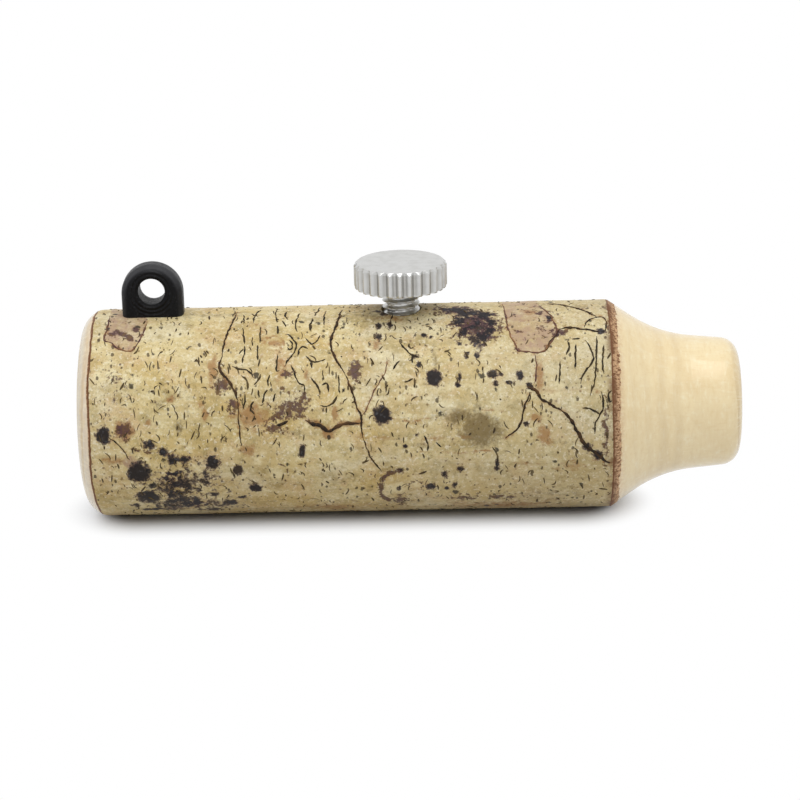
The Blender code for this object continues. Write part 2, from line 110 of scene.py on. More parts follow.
# Outlines of the pink tan patches. The left and the right one go on over the top of the stem
LEFT_BLUSH = (
    (110, 316), (108, 326), (107, 331), (103, 338), (104, 341), (110, 342), (115, 347),
    (121, 350), (131, 352), (136, 346), (142, 337), (144, 331), (147, 323),
)
RIGHT_BLUSH = (
    (502, 304), (506, 318), (508, 329), (511, 338), (516, 345), (517, 351), (525, 351), (536, 353),
    (544, 351), (548, 348), (550, 342), (556, 336), (557, 328), (551, 317), (546, 311), (538, 305),
)
BLUSH_PATCHES = (
    (*LEFT_BLUSH, (148, 300), (112, 300)),
    ((122, 461), (126, 456), (133, 456), (138, 460), (138, 466), (132, 469), (125, 467)),
    (*RIGHT_BLUSH, (536, 296), (502, 296)),
)
# Thin brown lines, two of them round those patches: half width in mm, pixels
RUST_LINES = (
    (0.07, ((387, 357), (387, 368), (381, 380), (373, 393), (367, 409), (362, 417))),
    (0.09, ((535, 354), (537, 370), (534, 385))),
    (0.1, LEFT_BLUSH),
    (0.1, RIGHT_BLUSH),
)
# A lichen's script, stroke by stroke
SCRIPT_STROKES = (
    ((244, 315), (244, 319), (244, 323)),
    ((261, 310), (254, 316), (253, 323)),
    ((276, 310), (276, 317), (277, 323)),
    ((278, 326), (278, 334)),
    ((287, 312), (284, 315), (288, 320)),
    ((283, 321), (286, 327)),
    ((300, 313), (296, 322), (295, 326), (297, 332)),
    ((320, 308), (318, 312), (314, 316)),
    ((312, 318), (313, 321), (309, 327), (311, 332)),
    ((326, 311), (324, 316), (324, 325)),
    ((243, 328), (244, 337), (245, 344)),
    ((245, 346), (244, 353), (242, 363)),
    ((243, 349), (239, 354)),
    ((253, 337), (252, 346)),
    ((260, 327), (260, 335), (260, 343)),
    ((258, 345), (257, 353), (258, 360)),
    ((285, 335), (290, 335), (294, 340), (297, 346), (294, 354), (288, 360), (285, 367)),
    ((287, 347), (289, 350), (292, 349), (293, 344), (290, 340)),
    ((305, 338), (308, 342), (313, 345), (318, 340), (320, 335)),
    ((313, 345), (315, 349)),
    ((298, 356), (299, 350), (303, 346), (308, 349)),
    ((306, 355), (311, 362), (321, 361), (325, 359)),
    ((311, 362), (312, 368)),
    ((328, 363), (326, 369)),
    ((323, 370), (323, 380)),
    ((232, 366), (238, 369), (246, 369), (250, 373), (254, 378)),
    ((260, 374), (259, 380), (254, 385)),
    ((241, 375), (246, 380), (248, 385), (248, 391)),
    ((270, 375), (268, 380), (268, 386)),
    ((278, 354), (276, 368), (276, 372), (279, 371)),
    ((291, 365), (294, 372), (296, 379), (299, 384), (304, 384), (305, 388), (304, 395)),
    ((311, 377), (314, 382), (318, 387), (320, 394)),
    ((322, 385), (326, 383), (328, 385), (328, 392)),
    ((338, 375), (339, 384), (340, 394)),
    ((258, 390), (259, 398)),
    ((267, 390), (264, 395), (263, 403)),
    ((276, 393), (274, 396), (273, 402)),
    ((245, 394), (245, 402), (244, 409)),
    ((254, 401), (251, 404), (250, 412)),
    ((320, 405), (327, 407), (333, 402), (338, 395)),
    ((327, 407), (327, 412)),
    ((399, 341), (404, 348), (410, 354), (419, 357)),
    ((409, 343), (410, 349), (414, 347)),
    ((412, 355), (412, 363)),
    ((393, 369), (399, 361)),
    ((405, 382), (414, 379)),
    ((415, 383), (414, 388)),
    ((444, 352), (451, 350)),
    ((392, 432), (394, 437)),
    ((404, 437), (403, 443)),
    ((424, 435), (428, 442), (428, 451)),
    ((436, 442), (441, 447)),
    ((492, 447), (498, 454), (497, 464)),
    ((560, 361), (559, 384)),
    ((576, 344), (575, 369)),
    ((567, 341), (570, 347), (566, 355)),
    ((572, 339), (580, 338)),
    ((585, 340), (592, 349), (594, 362), (584, 372), (580, 384)),
    ((596, 336), (597, 350), (596, 365), (595, 382), (590, 395)),
    ((604, 344), (602, 360), (604, 374)),
    ((601, 391), (604, 405), (600, 415), (595, 422), (594, 434)),
    ((582, 408), (592, 409), (600, 415)),
    ((611, 390), (608, 394), (609, 402), (612, 400)),
)
# Stains: pixel across and down, half length and half width on the bark in mm, strength
SOOT_BLOTS = (
    (103, 436, 0.62, 0.68, 1.5), (149, 445, 0.7, 0.5, 1.0), (163, 452, 0.5, 0.55, 1.0),
    (173, 460, 0.6, 0.55, 1.05), (184, 460, 0.6, 0.45, 1.0), (139, 473, 0.95, 1.15, 1.4),
    (149, 497, 1.05, 1.0, 1.3), (136, 505, 0.5, 0.5, 1.0), (161, 488, 0.42, 0.3, 0.95),
    (171, 496, 0.6, 0.6, 1.0), (180, 484, 0.4, 0.35, 1.0), (188, 481, 0.3, 0.3, 0.95),
    (195, 475, 0.42, 0.42, 0.95), (187, 470, 0.4, 0.42, 0.85), (176, 475, 0.45, 0.28, 0.85),
    (206, 482, 0.4, 0.35, 0.95), (212, 463, 0.68, 0.8, 1.15), (238, 470, 0.46, 0.62, 1.15),
    (256, 488, 0.56, 0.6, 1.25), (229, 502, 0.75, 0.7, 1.15), (243, 497, 0.35, 0.35, 0.95),
    (215, 494, 0.5, 0.45, 0.95), (215, 509, 0.9, 0.6, 1.0), (153, 509, 1.3, 0.4, 0.95),
    (382, 415, 0.72, 0.78, 1.5), (302, 451, 0.3, 0.75, 1.1), (477, 325, 1.7, 1.6, 0.76),
    (459, 322, 0.8, 0.9, 1.0), (464, 315, 0.9, 0.7, 1.0), (474, 313, 0.9, 0.7, 1.0),
    (484, 315, 0.9, 0.8, 1.05), (491, 322, 0.7, 0.9, 1.0), (488, 331, 0.8, 0.8, 1.0),
    (481, 338, 0.8, 0.8, 0.95), (472, 338, 0.7, 0.7, 0.9), (464, 332, 0.7, 0.8, 0.95),
    (453, 309, 1.3, 0.6, 0.9), (462, 312, 0.8, 0.5, 0.9), (455, 310, 1.7, 0.9, 0.95),
    (478, 340, 0.5, 1.3, 0.95), (434, 378, 0.62, 0.72, 1.5), (493, 374, 0.5, 0.42, 1.1),
    (501, 374, 0.24, 0.24, 1.1), (496, 384, 0.28, 0.3, 1.1), (509, 382, 0.28, 0.24, 1.1),
    (520, 375, 0.3, 0.5, 1.1), (529, 386, 0.36, 0.4, 1.1), (526, 424, 0.3, 0.3, 1.0),
    (459, 377, 0.26, 0.45, 1.1), (458, 385, 0.35, 0.24, 1.1), (466, 355, 0.28, 0.36, 1.1),
    (459, 344, 0.28, 0.25, 1.1), (477, 356, 0.25, 0.32, 1.1), (424, 335, 0.28, 0.34, 1.1),
    (431, 337, 0.22, 0.28, 1.1), (419, 365, 0.28, 0.28, 1.1), (415, 357, 0.35, 0.26, 1.0),
    (460, 469, 0.36, 0.34, 1.0), (445, 475, 0.28, 0.48, 1.1), (455, 484, 0.28, 0.5, 1.1),
    (447, 488, 0.26, 0.27, 1.1), (405, 446, 0.26, 0.27, 1.1), (417, 435, 0.22, 0.26, 1.1),
    (497, 465, 0.25, 0.9, 1.0), (383, 314, 0.5, 0.35, 1.0), (377, 311, 0.5, 0.3, 0.9),
    (379, 325, 0.35, 0.5, 1.1), (390, 325, 0.3, 0.6, 1.1), (378, 336, 0.4, 0.45, 1.0),
    (431, 487, 0.55, 0.5, 1.1), (399, 488, 0.3, 0.4, 0.9), (601, 331, 0.5, 0.4, 1.1),
    (588, 447, 0.55, 0.5, 1.0), (598, 455, 0.6, 0.45, 1.0), (557, 333, 0.6, 0.45, 0.8),
    (549, 318, 0.5, 0.5, 0.9),
)
PLUM_BLOTS = (
    (355, 371, 0.6, 1.0, 1.25), (291, 409, 1.8, 1.2, 0.85), (287, 374, 1.0, 0.4, 0.9),
    (274, 428, 1.2, 0.8, 0.8), (136, 330, 0.35, 0.4, 1.3), (141, 335, 0.3, 0.3, 1.1),
    (123, 431, 0.7, 0.9, 1.1), (222, 386, 0.7, 0.8, 1.1), (233, 404, 0.6, 0.6, 1.0),
    (197, 504, 0.9, 0.8, 0.95), (172, 479, 1.4, 1.4, 0.6), (114, 380, 0.7, 0.7, 0.75),
    (476, 325, 2.2, 2.2, 1.15), (455, 310, 2.0, 1.1, 1.1), (546, 348, 0.5, 0.35, 0.7),
    (513, 314, 0.35, 0.3, 0.9), (538, 314, 0.55, 0.35, 1.0), (518, 331, 0.45, 0.35, 0.8),
    (540, 325, 0.4, 0.35, 0.7), (549, 320, 0.3, 0.5, 0.9), (526, 340, 0.35, 0.3, 0.7),
    (517, 349, 0.4, 0.3, 0.9), (559, 332, 0.7, 0.5, 1.1), (543, 328, 0.9, 1.4, 0.6),
    (609, 326, 0.4, 1.2, 0.8), (606, 434, 0.4, 4.0, 0.7), (400, 500, 0.9, 1.3, 0.9),
    (465, 497, 1.6, 0.7, 0.75), (502, 497, 2.0, 0.7, 0.75),
)
RUST_BLOTS = (
    (124, 430, 0.9, 1.0, 1.3), (471, 326, 0.7, 0.7, 1.1), (275, 344, 0.7, 0.5, 1.0),
    (251, 417, 1.7, 1.3, 1.05), (212, 370, 0.45, 1.5, 1.1), (214, 359, 0.3, 0.6, 1.0),
    (278, 367, 0.35, 1.6, 0.8), (335, 413, 0.3, 0.9, 1.1), (328, 432, 0.6, 0.8, 1.1),
    (307, 376, 0.35, 0.9, 0.9), (539, 374, 0.5, 1.5, 1.15), (545, 435, 0.7, 1.2, 1.0),
    (536, 418, 0.7, 0.5, 0.9), (114, 461, 1.2, 0.6, 0.8), (248, 450, 0.8, 0.7, 0.95),
    # The long blots at pixels down 505 and 507 darken the stem along its lower side
    (505, 505, 6.0, 1.6, 0.8), (336, 507, 5.0, 1.2, 0.7), (394, 318, 1.8, 1.2, 0.65),
    (264, 331, 0.6, 2.6, 0.6), (205, 413, 0.3, 0.9, 0.95), (200, 402, 0.3, 0.6, 0.8),
    (376, 345, 0.5, 1.2, 0.75), (530, 313, 1.0, 1.6, 0.7), (572, 466, 2.4, 0.8, 0.6),
    (170, 400, 0.5, 0.5, 0.8), (148, 422, 0.4, 0.4, 0.8),
)
MOSS_BLOTS = (
    (481, 430, 2.1, 1.7, 1.15), (464, 416, 3.4, 1.5, 0.75), (435, 357, 0.5, 1.8, 0.7),
    # The wide faint blots at pixels down 494 and 497 darken the stem along its lower side
    (174, 394, 5.0, 3.0, 0.42), (393, 497, 7.0, 3.0, 0.45), (546, 494, 6.0, 3.0, 0.5),
    (222, 315, 9.0, 1.5, 0.5), (374, 315, 5.0, 1.6, 0.62), (583, 307, 4.0, 1.5, 0.5),
    (298, 434, 6.0, 0.9, 0.5), (441, 444, 8.0, 0.7, 0.45), (564, 442, 5.0, 0.8, 0.45),
    (179, 428, 0.5, 0.8, 0.7),
)
PALE_BLOTS = (
    (397, 488, 1.3, 1.1, 0.95), (416, 485, 0.8, 0.6, 0.8), (275, 474, 1.0, 1.1, 0.9),
    (275, 348, 0.7, 0.6, 0.9), (287, 347, 0.6, 1.2, 0.7), (99, 377, 0.9, 1.1, 0.75),
    (150, 488, 0.9, 0.5, 0.7), (443, 405, 3.0, 1.0, 0.6), (555, 387, 2.2, 1.8, 0.6),
    (317, 454, 3.0, 1.2, 0.55),
)
# Stains that run along a line: half width in mm, strength, pixels
PLUM_STREAKS = (
    (0.3, 0.95, ((389, 500), (381, 494), (380, 487), (384, 478), (392, 472), (403, 470))),
    (0.12, 0.7, ((410, 483), (417, 480), (423, 484), (421, 489), (414, 490), (409, 487), (410, 483))),
    (0.12, 0.6, ((263, 482), (262, 474), (268, 466), (277, 463), (287, 467), (288, 476), (284, 484))),
    (0.4, 0.85, ((274, 419), (286, 411), (297, 406), (304, 401), (305, 394))),
    (0.25, 0.7, ((282, 388), (290, 395), (292, 404))),
    (0.35, 1.2, ((112, 334), (117, 332), (122, 334), (127, 336), (130, 338))),
    (0.25, 0.6, ((132, 450), (151, 453), (170, 454), (189, 457))),
)
RUST_STREAKS = (
    (
        0.16,
        0.8,
        ((264, 343), (267, 338), (274, 336), (281, 338), (284, 343), (281, 349), (274, 351), (267, 349)),
    ),
    (0.16, 1.0, ((270, 343), (275, 346), (279, 345))),
    (0.3, 0.6, ((245, 325), (252, 323), (260, 326), (262, 340), (261, 356))),
    (0.4, 0.7, ((271, 362), (279, 360), (284, 367), (280, 376))),
    (0.25, 0.7, ((321, 434), (327, 431), (333, 438))),
    (0.4, 0.85, ((356, 423), (341, 423), (335, 428), (327, 432), (321, 425), (308, 421))),
    # This streak runs along the lower side of the stem and darkens it there
    (0.5, 0.45, ((222, 512), (336, 508), (450, 506), (583, 500))),
    (0.3, 0.5, ((537, 389), (560, 391), (585, 389), (600, 391))),
    (0.3, 0.5, ((355, 436), (403, 440), (469, 437))),
    (0.3, 0.45, ((460, 464), (498, 461), (545, 464), (602, 458))),
    (0.16, 0.75, ((419, 452), (442, 452), (459, 453), (492, 450))),
    (0.16, 0.7, ((392, 419), (412, 422), (428, 418))),
    (0.16, 0.7, ((482, 410), (509, 411))),
)
# Areas thick with dark speckles
SPECKLE_ZONES = (
    (184, 470, 4.2, 2.2, 0.29), (203, 494, 4.6, 3.2, 0.29), (165, 497, 2.6, 2.4, 0.28),
    (203, 507, 4.0, 1.8, 0.26), (479, 322, 2.6, 2.8, 0.26), (112, 379, 2.0, 3.0, 0.16),
    (564, 307, 4.0, 2.5, 0.18), (403, 495, 3.0, 2.2, 0.2), (488, 482, 6.0, 2.5, 0.14),
    (540, 320, 2.0, 3.5, 0.22), (184, 404, 8.0, 2.6, 0.18), (450, 336, 4.0, 3.0, 0.16),
)
# Where the short script dashes stand closer (above 0) or further apart (below 0)
SCRIPT_ZONES = (
    (289, 349, 5.5, 8.0, -0.5), (588, 374, 3.0, 8.0, -0.85), (536, 322, 2.5, 4.0, -0.7),
    (184, 411, 7.0, 3.2, 0.9), (203, 480, 8.0, 5.0, 0.3), (450, 352, 6.0, 5.0, 0.1),
    (450, 472, 9.0, 6.0, -0.35),
)
# The far side carries the same marks, turned round the stem by degrees and moved along it by mm
BACK_TURN = 176.0
BACK_SHIFT = -12.0
# Bend and half width of the script dashes' shapes, before each dash gets a length and a girth of its own
DASH_SHAPES = ((0.1, 0.08), (0.45, 0.07), (-0.35, 0.07), (0.06, 0.11))
# Girth for each unit of half width, as a shape is about a twelfth wide
DASH_GIRTH = 12.0
# Width in mm of the rusty halo beside a lichen line, and of the soft edge of a blush patch
HALO_WIDTH = 0.7
PATCH_EDGE = 1.2
# Widths in mm over which the bark's cut edges show, at the outlet and at the cone
OUTLET_CUT = 0.62
CONE_CUT = 0.5
# How many times its half size away from its middle a zone has faded out
ZONE_END = 1.7
# A lichen line feels for the bark from this height over the axis, and this far down
FEELER_HEIGHT = 14 * MM
FEELER_LENGTH = 4 * MM
# Scale and share of the noises that make the bark's bumps
BARK_BUMPS = ((210, 1.0), (700, 0.5), (2300, 0.25))
# How far the branch's pith lies from the call's axis
PITH_SIDE = 0.2 * MM
PITH_RISE = 0.3 * MM
# Spacing of the faint rings that the mould left round the eye's hole
MOULD_RING_STEP = 0.42 * MM
# Chamfer on the screw's tip, and the run from its neck to the full thread
TIP_CHAMFER = 0.3 * MM
NECK_RUN = 0.2 * MM
# The drill for the screw's hole goes from within the chamber to above the bark
DRILL_LOW = AXIS_HEIGHT + 2 * MM
DRILL_HIGH = AXIS_HEIGHT + 14 * MM

# How finely the meshes are divided
WOOD_STEP = 0.22 * MM
WOOD_COLUMNS = 192
BARK_COLUMNS = 288
BARK_ROWS = 222
DRILL_SIDES = 96
FLUTE_COLUMNS = 12
THREAD_ROWS = 12
# Angles in degrees from which an edge stays sharp
WOOD_SHARP = 40
BARK_SHARP = 45
SCREW_SHARP = 38
EYE_SHARP = 50
ALL_SMOOTH = 180


def linear(red, green, blue):
    """Screen values from 0 to 255 as the linear colour that a shader takes."""
    shares = (red / 255, green / 255, blue / 255)
    return tuple(c / 12.92 if c <= 0.04045 else ((c + 0.055) / 1.055) ** 2.4 for c in shares)


def number(name, description, default, **settings):
    return FloatProperty(name=name, description=description, default=default, **settings)


def place(name, description, default, **limits):
    return number(name, description, default, precision=5, unit="LENGTH", subtype="DISTANCE", **limits)


def length(name, description, default):
    return place(name, description, default, min=0.0)


def angle(name, description, degrees):
    return number(name, description, math.radians(degrees), unit="ROTATION", subtype="ANGLE")


def colour(name, description, red, green, blue):
    return FloatVectorProperty(
        name=name,
        description=description,
        default=linear(red, green, blue),
        size=3,
        min=0.0,
        max=1.0,
        subtype="COLOR",
    )


class DeerCallSizes(bpy.types.PropertyGroup):
    """Sizes of the pieces, which start from the frame's own."""

    bark_radius: length("Bark radius", "Outside of the bark", 11.23 * MM)
    bark_proud: length("Bark stand", "How far the bark stands over the turned wood", 0.03 * MM)
    bark_relief: length("Bark relief", "Height of the bark's bumps", 0.05 * MM)
    bark_bed: length("Bark bed", "Inside radius of the bark", 10.6 * MM)
    bark_start: place("Bark start", "Where the bark begins on the rounded outlet end", -34.2 * MM)
    shoulder: place("Shoulder", "Where the bark ends and the cone to the mouthpiece begins", 21.3 * MM)
    bark_end: place("Bark end", "Where the cut bark meets the wood of the cone", 22.1 * MM)
    outlet_rounding: length("Outlet rounding", "Rounding of the outlet end", 2.3 * MM)
    shoulder_angle: angle("Cone angle", "Slope of the cone behind the mouthpiece", 33.4)
    neck_taper: angle("Neck taper", "Slope of the mouthpiece", 5.4)
    neck_sweep: length("Neck sweep", "Radius between the cone and the mouthpiece", 14.0 * MM)
    mouth_radius: length("Mouth radius", "Outside of the mouthpiece at its end", 6.75 * MM)
    mouth_rounding: length("Mouth rounding", "Rounding of the mouthpiece's end", 2.0 * MM)
    first_growth: place("First growth", "Dark growth ring that the cone cuts across", 26.6 * MM)
    second_growth: place("Second growth", "Dark growth ring that the mouthpiece cuts across", 28.3 * MM)
    chamber_radius: length("Chamber radius", "Bore that the reed lies in", 5.5 * MM)
    chamber_end: place("Chamber end", "Where the chamber steps down to the mouth bore", 12.6 * MM)
    mouth_bore: length("Mouth bore", "Radius of the bore that is blown into", 3.5 * MM)
    lip_rounding: length("Lip rounding", "Rounding of the bores' edges", 0.5 * MM)
    screw_hole: length("Screw hole", "Radius of the hole that the screw goes through", 2.2 * MM)
    head_radius: length("Head radius", "Outside of the screw's head", 5.0 * MM)
    head_height: length("Head height", "Height of the screw's head", 2.7 * MM)
    head_chamfer: length("Head chamfer", "Chamfer on the head's upper edge", 0.32 * MM)
    head_foot: length("Head foot", "Chamfer on the head's lower edge", 0.14 * MM)
    flutes: IntProperty(name="Flutes", description="Ridges round the screw's head", default=28, min=8, max=80)
    flute_depth: length("Flute depth", "Depth of the valleys between the ridges", 0.4 * MM)
    neck_radius: length("Neck radius", "Plain neck under the screw's head", 1.75 * MM)
    neck_length: length("Neck length", "Length of that neck", 0.65 * MM)
    thread_radius: length("Thread radius", "Outside of the thread", 2.0 * MM)
    thread_pitch: length("Thread pitch", "Rise of the thread in one turn", 0.7 * MM)
    thread_depth: length("Thread depth", "Depth of the thread", 0.43 * MM)
    pad_socket: length("Pad socket", "Radius of the hole in the screw's tip", 1.0 * MM)
    pad_socket_depth: length("Pad socket depth", "Depth of that hole", 1.4 * MM)
    eye_hole: length("Eye hole", "Radius of the hole for the lanyard", 1.425 * MM)
    eye_rounding: length("Eye rounding", "Rounding of the eye's outer edges", 0.95 * MM)
    eye_rim: length("Eye rim", "Rounding of the hole's edges", 0.28 * MM)
    eye_sink: length("Eye sink", "How deep the eye's foot sits in the bark", 0.25 * MM)
    grey_start: place("Grey start", "Where the crust begins to turn grey towards the mouthpiece", -8 * MM)
    grey_end: place("Grey end", "Where the crust is greyest", 20 * MM)
    line_step: length("Line step", "Spacing of the points along a lichen line", 0.14 * MM)
    line_waver: length("Line waver", "How far a lichen line wanders", 0.11 * MM)
    stroke_radius: length("Stroke radius", "Half width of a lichen's script strokes", 0.1 * MM)
    dash_spread: number("Dash spread", "Script dashes on a square metre of bark", 430000.0, min=0.0)
    dash_length: length("Dash length", "Longest of the short script dashes", 1.05 * MM)
    dash_radius: length("Dash radius", "Half width of the short script dashes", 0.078 * MM)
    dash_seed: IntProperty(name="Dash seed", description="Picks another spread of dashes", default=7, min=0)


class DeerCallColours(bpy.types.PropertyGroup):
    """Colours of the finishes."""

    lichen: colour("Lichen", "Main colour of the lichen crust", 214, 196, 146)
    lichen_tan: colour("Tan lichen", "Browner areas of the crust", 200, 177, 126)
    lichen_warm: colour("Warm lichen", "Peach areas of the crust", 206, 174, 130)
    lichen_pale: colour("Pale lichen", "Lighter areas of the crust", 232, 219, 176)
    lichen_ochre: colour("Ochre lichen", "Yellow brown areas of the crust", 200, 172, 104)
    lichen_chalk: colour("Chalk lichen", "Greyish white areas of the crust", 222, 212, 180)
    lichen_cream: colour("Cream lichen", "Fine pale flecks in the crust", 236, 228, 203)
    lichen_olive: colour("Olive lichen", "Darker, greener areas of the crust", 158, 139, 88)
    lichen_grey: colour("Grey lichen", "Greyer crust towards the mouthpiece", 192, 178, 142)
    blush: colour("Blush", "Pink tan patches", 173, 143, 121)
    soot: colour("Soot", "Near black spots", 24, 24, 28)
    bloom: colour("Bloom", "Grey bloom on the spots", 106, 109, 114)
    speck: colour("Speck", "Dark olive specks", 66, 54, 38)
    umber: colour("Umber", "Fine brown dots", 100, 72, 44)
    plum: colour("Plum", "Purple grey stains", 80, 55, 59)
    rust: colour("Rust", "Red brown stains", 160, 117, 72)
    moss: colour("Moss", "Olive brown smudges", 110, 92, 58)
    # Painted shade: this tint multiplies the crust darker under the stem, most towards the bottom
    underside_shade: colour("Underside", "Tint that darkens the crust under the stem", 238, 233, 225)
    cut_bark: colour("Cut bark", "Red brown cut edge of the bark", 210, 172, 132)
    cut_dark: colour("Dark cut bark", "Darker fibres in the cut edge", 110, 74, 50)
    script: colour("Script", "Black script and border lines", 30, 27, 24)
    wood: colour("Wood", "Turned wood", 239, 220, 177)
    wood_pale: colour("Pale wood", "Pale flecks in the wood", 243, 231, 200)
    wood_late: colour("Late wood", "Darker growth rings", 227, 201, 152)
    wood_ring: colour("Ring wood", "Dark edge of a growth ring", 206, 178, 134)
    wood_end: colour("End wood", "Greyer wood at the outlet end", 218, 207, 189)
    plastic: colour("Black plastic", "Moulded lanyard eye", 16, 16, 17)
    # Grey of the scuffs, and of the painted sheen on the eye's rounded edges and crown
    plastic_worn: colour("Worn plastic", "Rubbed edges of the eye", 66, 66, 68)
    nickel: colour("Nickel", "Plated tuning screw", 203, 203, 201)
    # Dull smears on the nickel, and the painted shade in the valleys between the screw's flutes
    nickel_dull: colour("Dull nickel", "Dirt between the screw's flutes", 138, 134, 124)
    bronze: colour("Bronze", "Reed", 206, 164, 110)
    carrier: colour("Carrier", "Tone bar", 62, 62, 64)
    cork: colour("Cork", "Reed wedge", 178, 134, 92)
    rubber: colour("Rubber", "Seal ring", 38, 38, 38)
    nylon: colour("Nylon", "Pressure pad", 230, 227, 216)
    floor: colour("Floor", "Pale floor", 230, 233, 239)


class DeerCallStage(bpy.types.PropertyGroup):
    """Camera and light."""

    lens: number("Lens", "Focal length in mm", 122.67, min=10.0)
    sensor: number("Sensor", "Width of the camera's sensor in mm", 36.0, min=10.0)
    near: length("Near", "Distance from which the camera sees", 10 * MM)
    distance: length("Camera distance", "From the camera to the point it turns about", 297.17 * MM)
    elevation: angle("Elevation", "Camera above the horizon", 18.905)
    yaw: angle("Yaw", "Camera round the call", -1.135)
    roll: angle("Roll", "Tilt of the picture", -1.46)
    aim_x: place("Aim along", "Point that the camera turns about, along the call", -1.3 * MM)
    raise_aim: place("Raise", "How far over that point the camera looks", 0.741 * MM)
    fill: number("Fill light", "Light from all round", 0.24, min=0.0)
    key: number("Key light", "Strength of the soft lamp", 2.7, min=0.0)
    key_tilt: angle("Key tilt", "Soft lamp's lean towards the camera", 16.0)
    key_spread: angle("Key spread", "Apparent size of the soft lamp", 100.0)
    box_power: number("Softbox power", "Lamp that gives the varnish its shine", 1.3, min=0.0)
    box_tilt: angle("Softbox tilt", "Softbox's lean towards the camera", 14.0)
    box_width: length("Softbox width", "Size of the softbox along the call", 300 * MM)
    box_depth: length("Softbox depth", "Size of the softbox across the call", 340 * MM)
    box_reach: length("Softbox reach", "From the call's axis to the softbox", 500 * MM)
    box_shift: place("Softbox shift", "Middle of the softbox along the call", 20 * MM)
    floor_reach: length("Floor reach", "Half of the floor's width", 3000 * MM)
    floor_drop: length("Floor drop", "How far the floor lies under the frame's own box", 0.05 * MM)
    shadow_core: length("Shadow core", "Where the floor's shadow is full, from the line of contact", 3.2 * MM)
    shadow_reach: length("Shadow reach", "Where the floor is plain white to the camera", 9.6 * MM)
    shadow_inset: length("Shadow inset", "How far inside the bark's ends the line of contact stops", 5.0 * MM)


# A finish's words for the sockets of the shader
SOCKETS = {
    "colour": "Base Color",
    "metallic": "Metallic",
    "roughness": "Roughness",
    "normal": "Normal",
    "coat": "Coat Weight",
    "coat_roughness": "Coat Roughness",
    "coat_normal": "Coat Normal",
    "specular": "Specular IOR Level",
}


class Wire:
    """A node's output. Reckoning with it lays math nodes behind it."""

    def __init__(self, bench, socket):
        self.bench = bench
        self.socket = socket

    def __add__(self, other):
        return self.bench.math("ADD", self, other)

    def __sub__(self, other):
        return self.bench.math("SUBTRACT", self, other)

    def __rsub__(self, other):
        return self.bench.math("SUBTRACT", other, self)

    def __mul__(self, other):
        return self.bench.math("MULTIPLY", self, other)

    def __truediv__(self, other):
        return self.bench.math("DIVIDE", self, other)

    def __gt__(self, other):
        return self.bench.math("GREATER_THAN", self, other)

    def __lt__(self, other):
        return self.bench.math("LESS_THAN", self, other)

    def __abs__(self):
        return self.bench.math("ABSOLUTE", self)

    __radd__ = __add__
    __rmul__ = __mul__


class NodeBench:
    """Lays nodes in a tree. An input takes a value or a wire."""

    def __init__(self, tree):
        self.tree = tree

    def plug(self, socket, value):
        if isinstance(value, Wire):
            self.tree.links.new(value.socket, socket)
        else:
            socket.default_value = value

    def node(self, kind, inputs=None, **settings):
        node = self.tree.nodes.new(kind)
        for name, value in settings.items():
            setattr(node, name, value)
        for name, value in (inputs or {}).items():
            self.plug(node.inputs[name], value)
        return node

    def wire(self, kind, inputs=None, output=0, **settings):
        """One output of a new node."""
        return Wire(self, self.node(kind, inputs, **settings).outputs[output])

    def wires(self, kind, inputs=None, **settings):
        """All outputs of a new node, by name."""
        return {socket.name: Wire(self, socket) for socket in self.node(kind, inputs, **settings).outputs}

    def math(self, operation, first, second=0.0):
        return self.wire("ShaderNodeMath", {0: first, 1: second}, operation=operation)

    def vector(self, operation, first, second=(0.0, 0.0, 0.0)):
        return self.wire("ShaderNodeVectorMath", {0: first, 1: second}, operation=operation)

    def scaled(self, vector, factor):
        return self.wire("ShaderNodeVectorMath", {"Vector": vector, "Scale": factor}, operation="SCALE")

    def span(self, vector):
        return self.wire("ShaderNodeVectorMath", {0: vector}, "Value", operation="LENGTH")

    def split(self, vector):
        return list(self.wires("ShaderNodeSeparateXYZ", {0: vector}).values())

    def joined(self, x, y, z):
        return self.wire("ShaderNodeCombineXYZ", {0: x, 1: y, 2: z})

    def fade(self, value, low, high, start=0.0, end=1.0):
        """Start below low, end above high, and a smooth change between them."""
        inputs = {"Value": value, "From Min": low, "From Max": high, "To Min": start, "To Max": end}
        return self.wire("ShaderNodeMapRange", inputs, interpolation_type="SMOOTHSTEP")

    def backdrop_share(self):
        """1 for rays that show the backdrop: the camera's own, and those that metal and glass send on."""
        path = self.wires("ShaderNodeLightPath")
        seen = self.math("MAXIMUM", path["Is Camera Ray"], path["Is Glossy Ray"])
        return self.math("MAXIMUM", seen, path["Is Transmission Ray"])


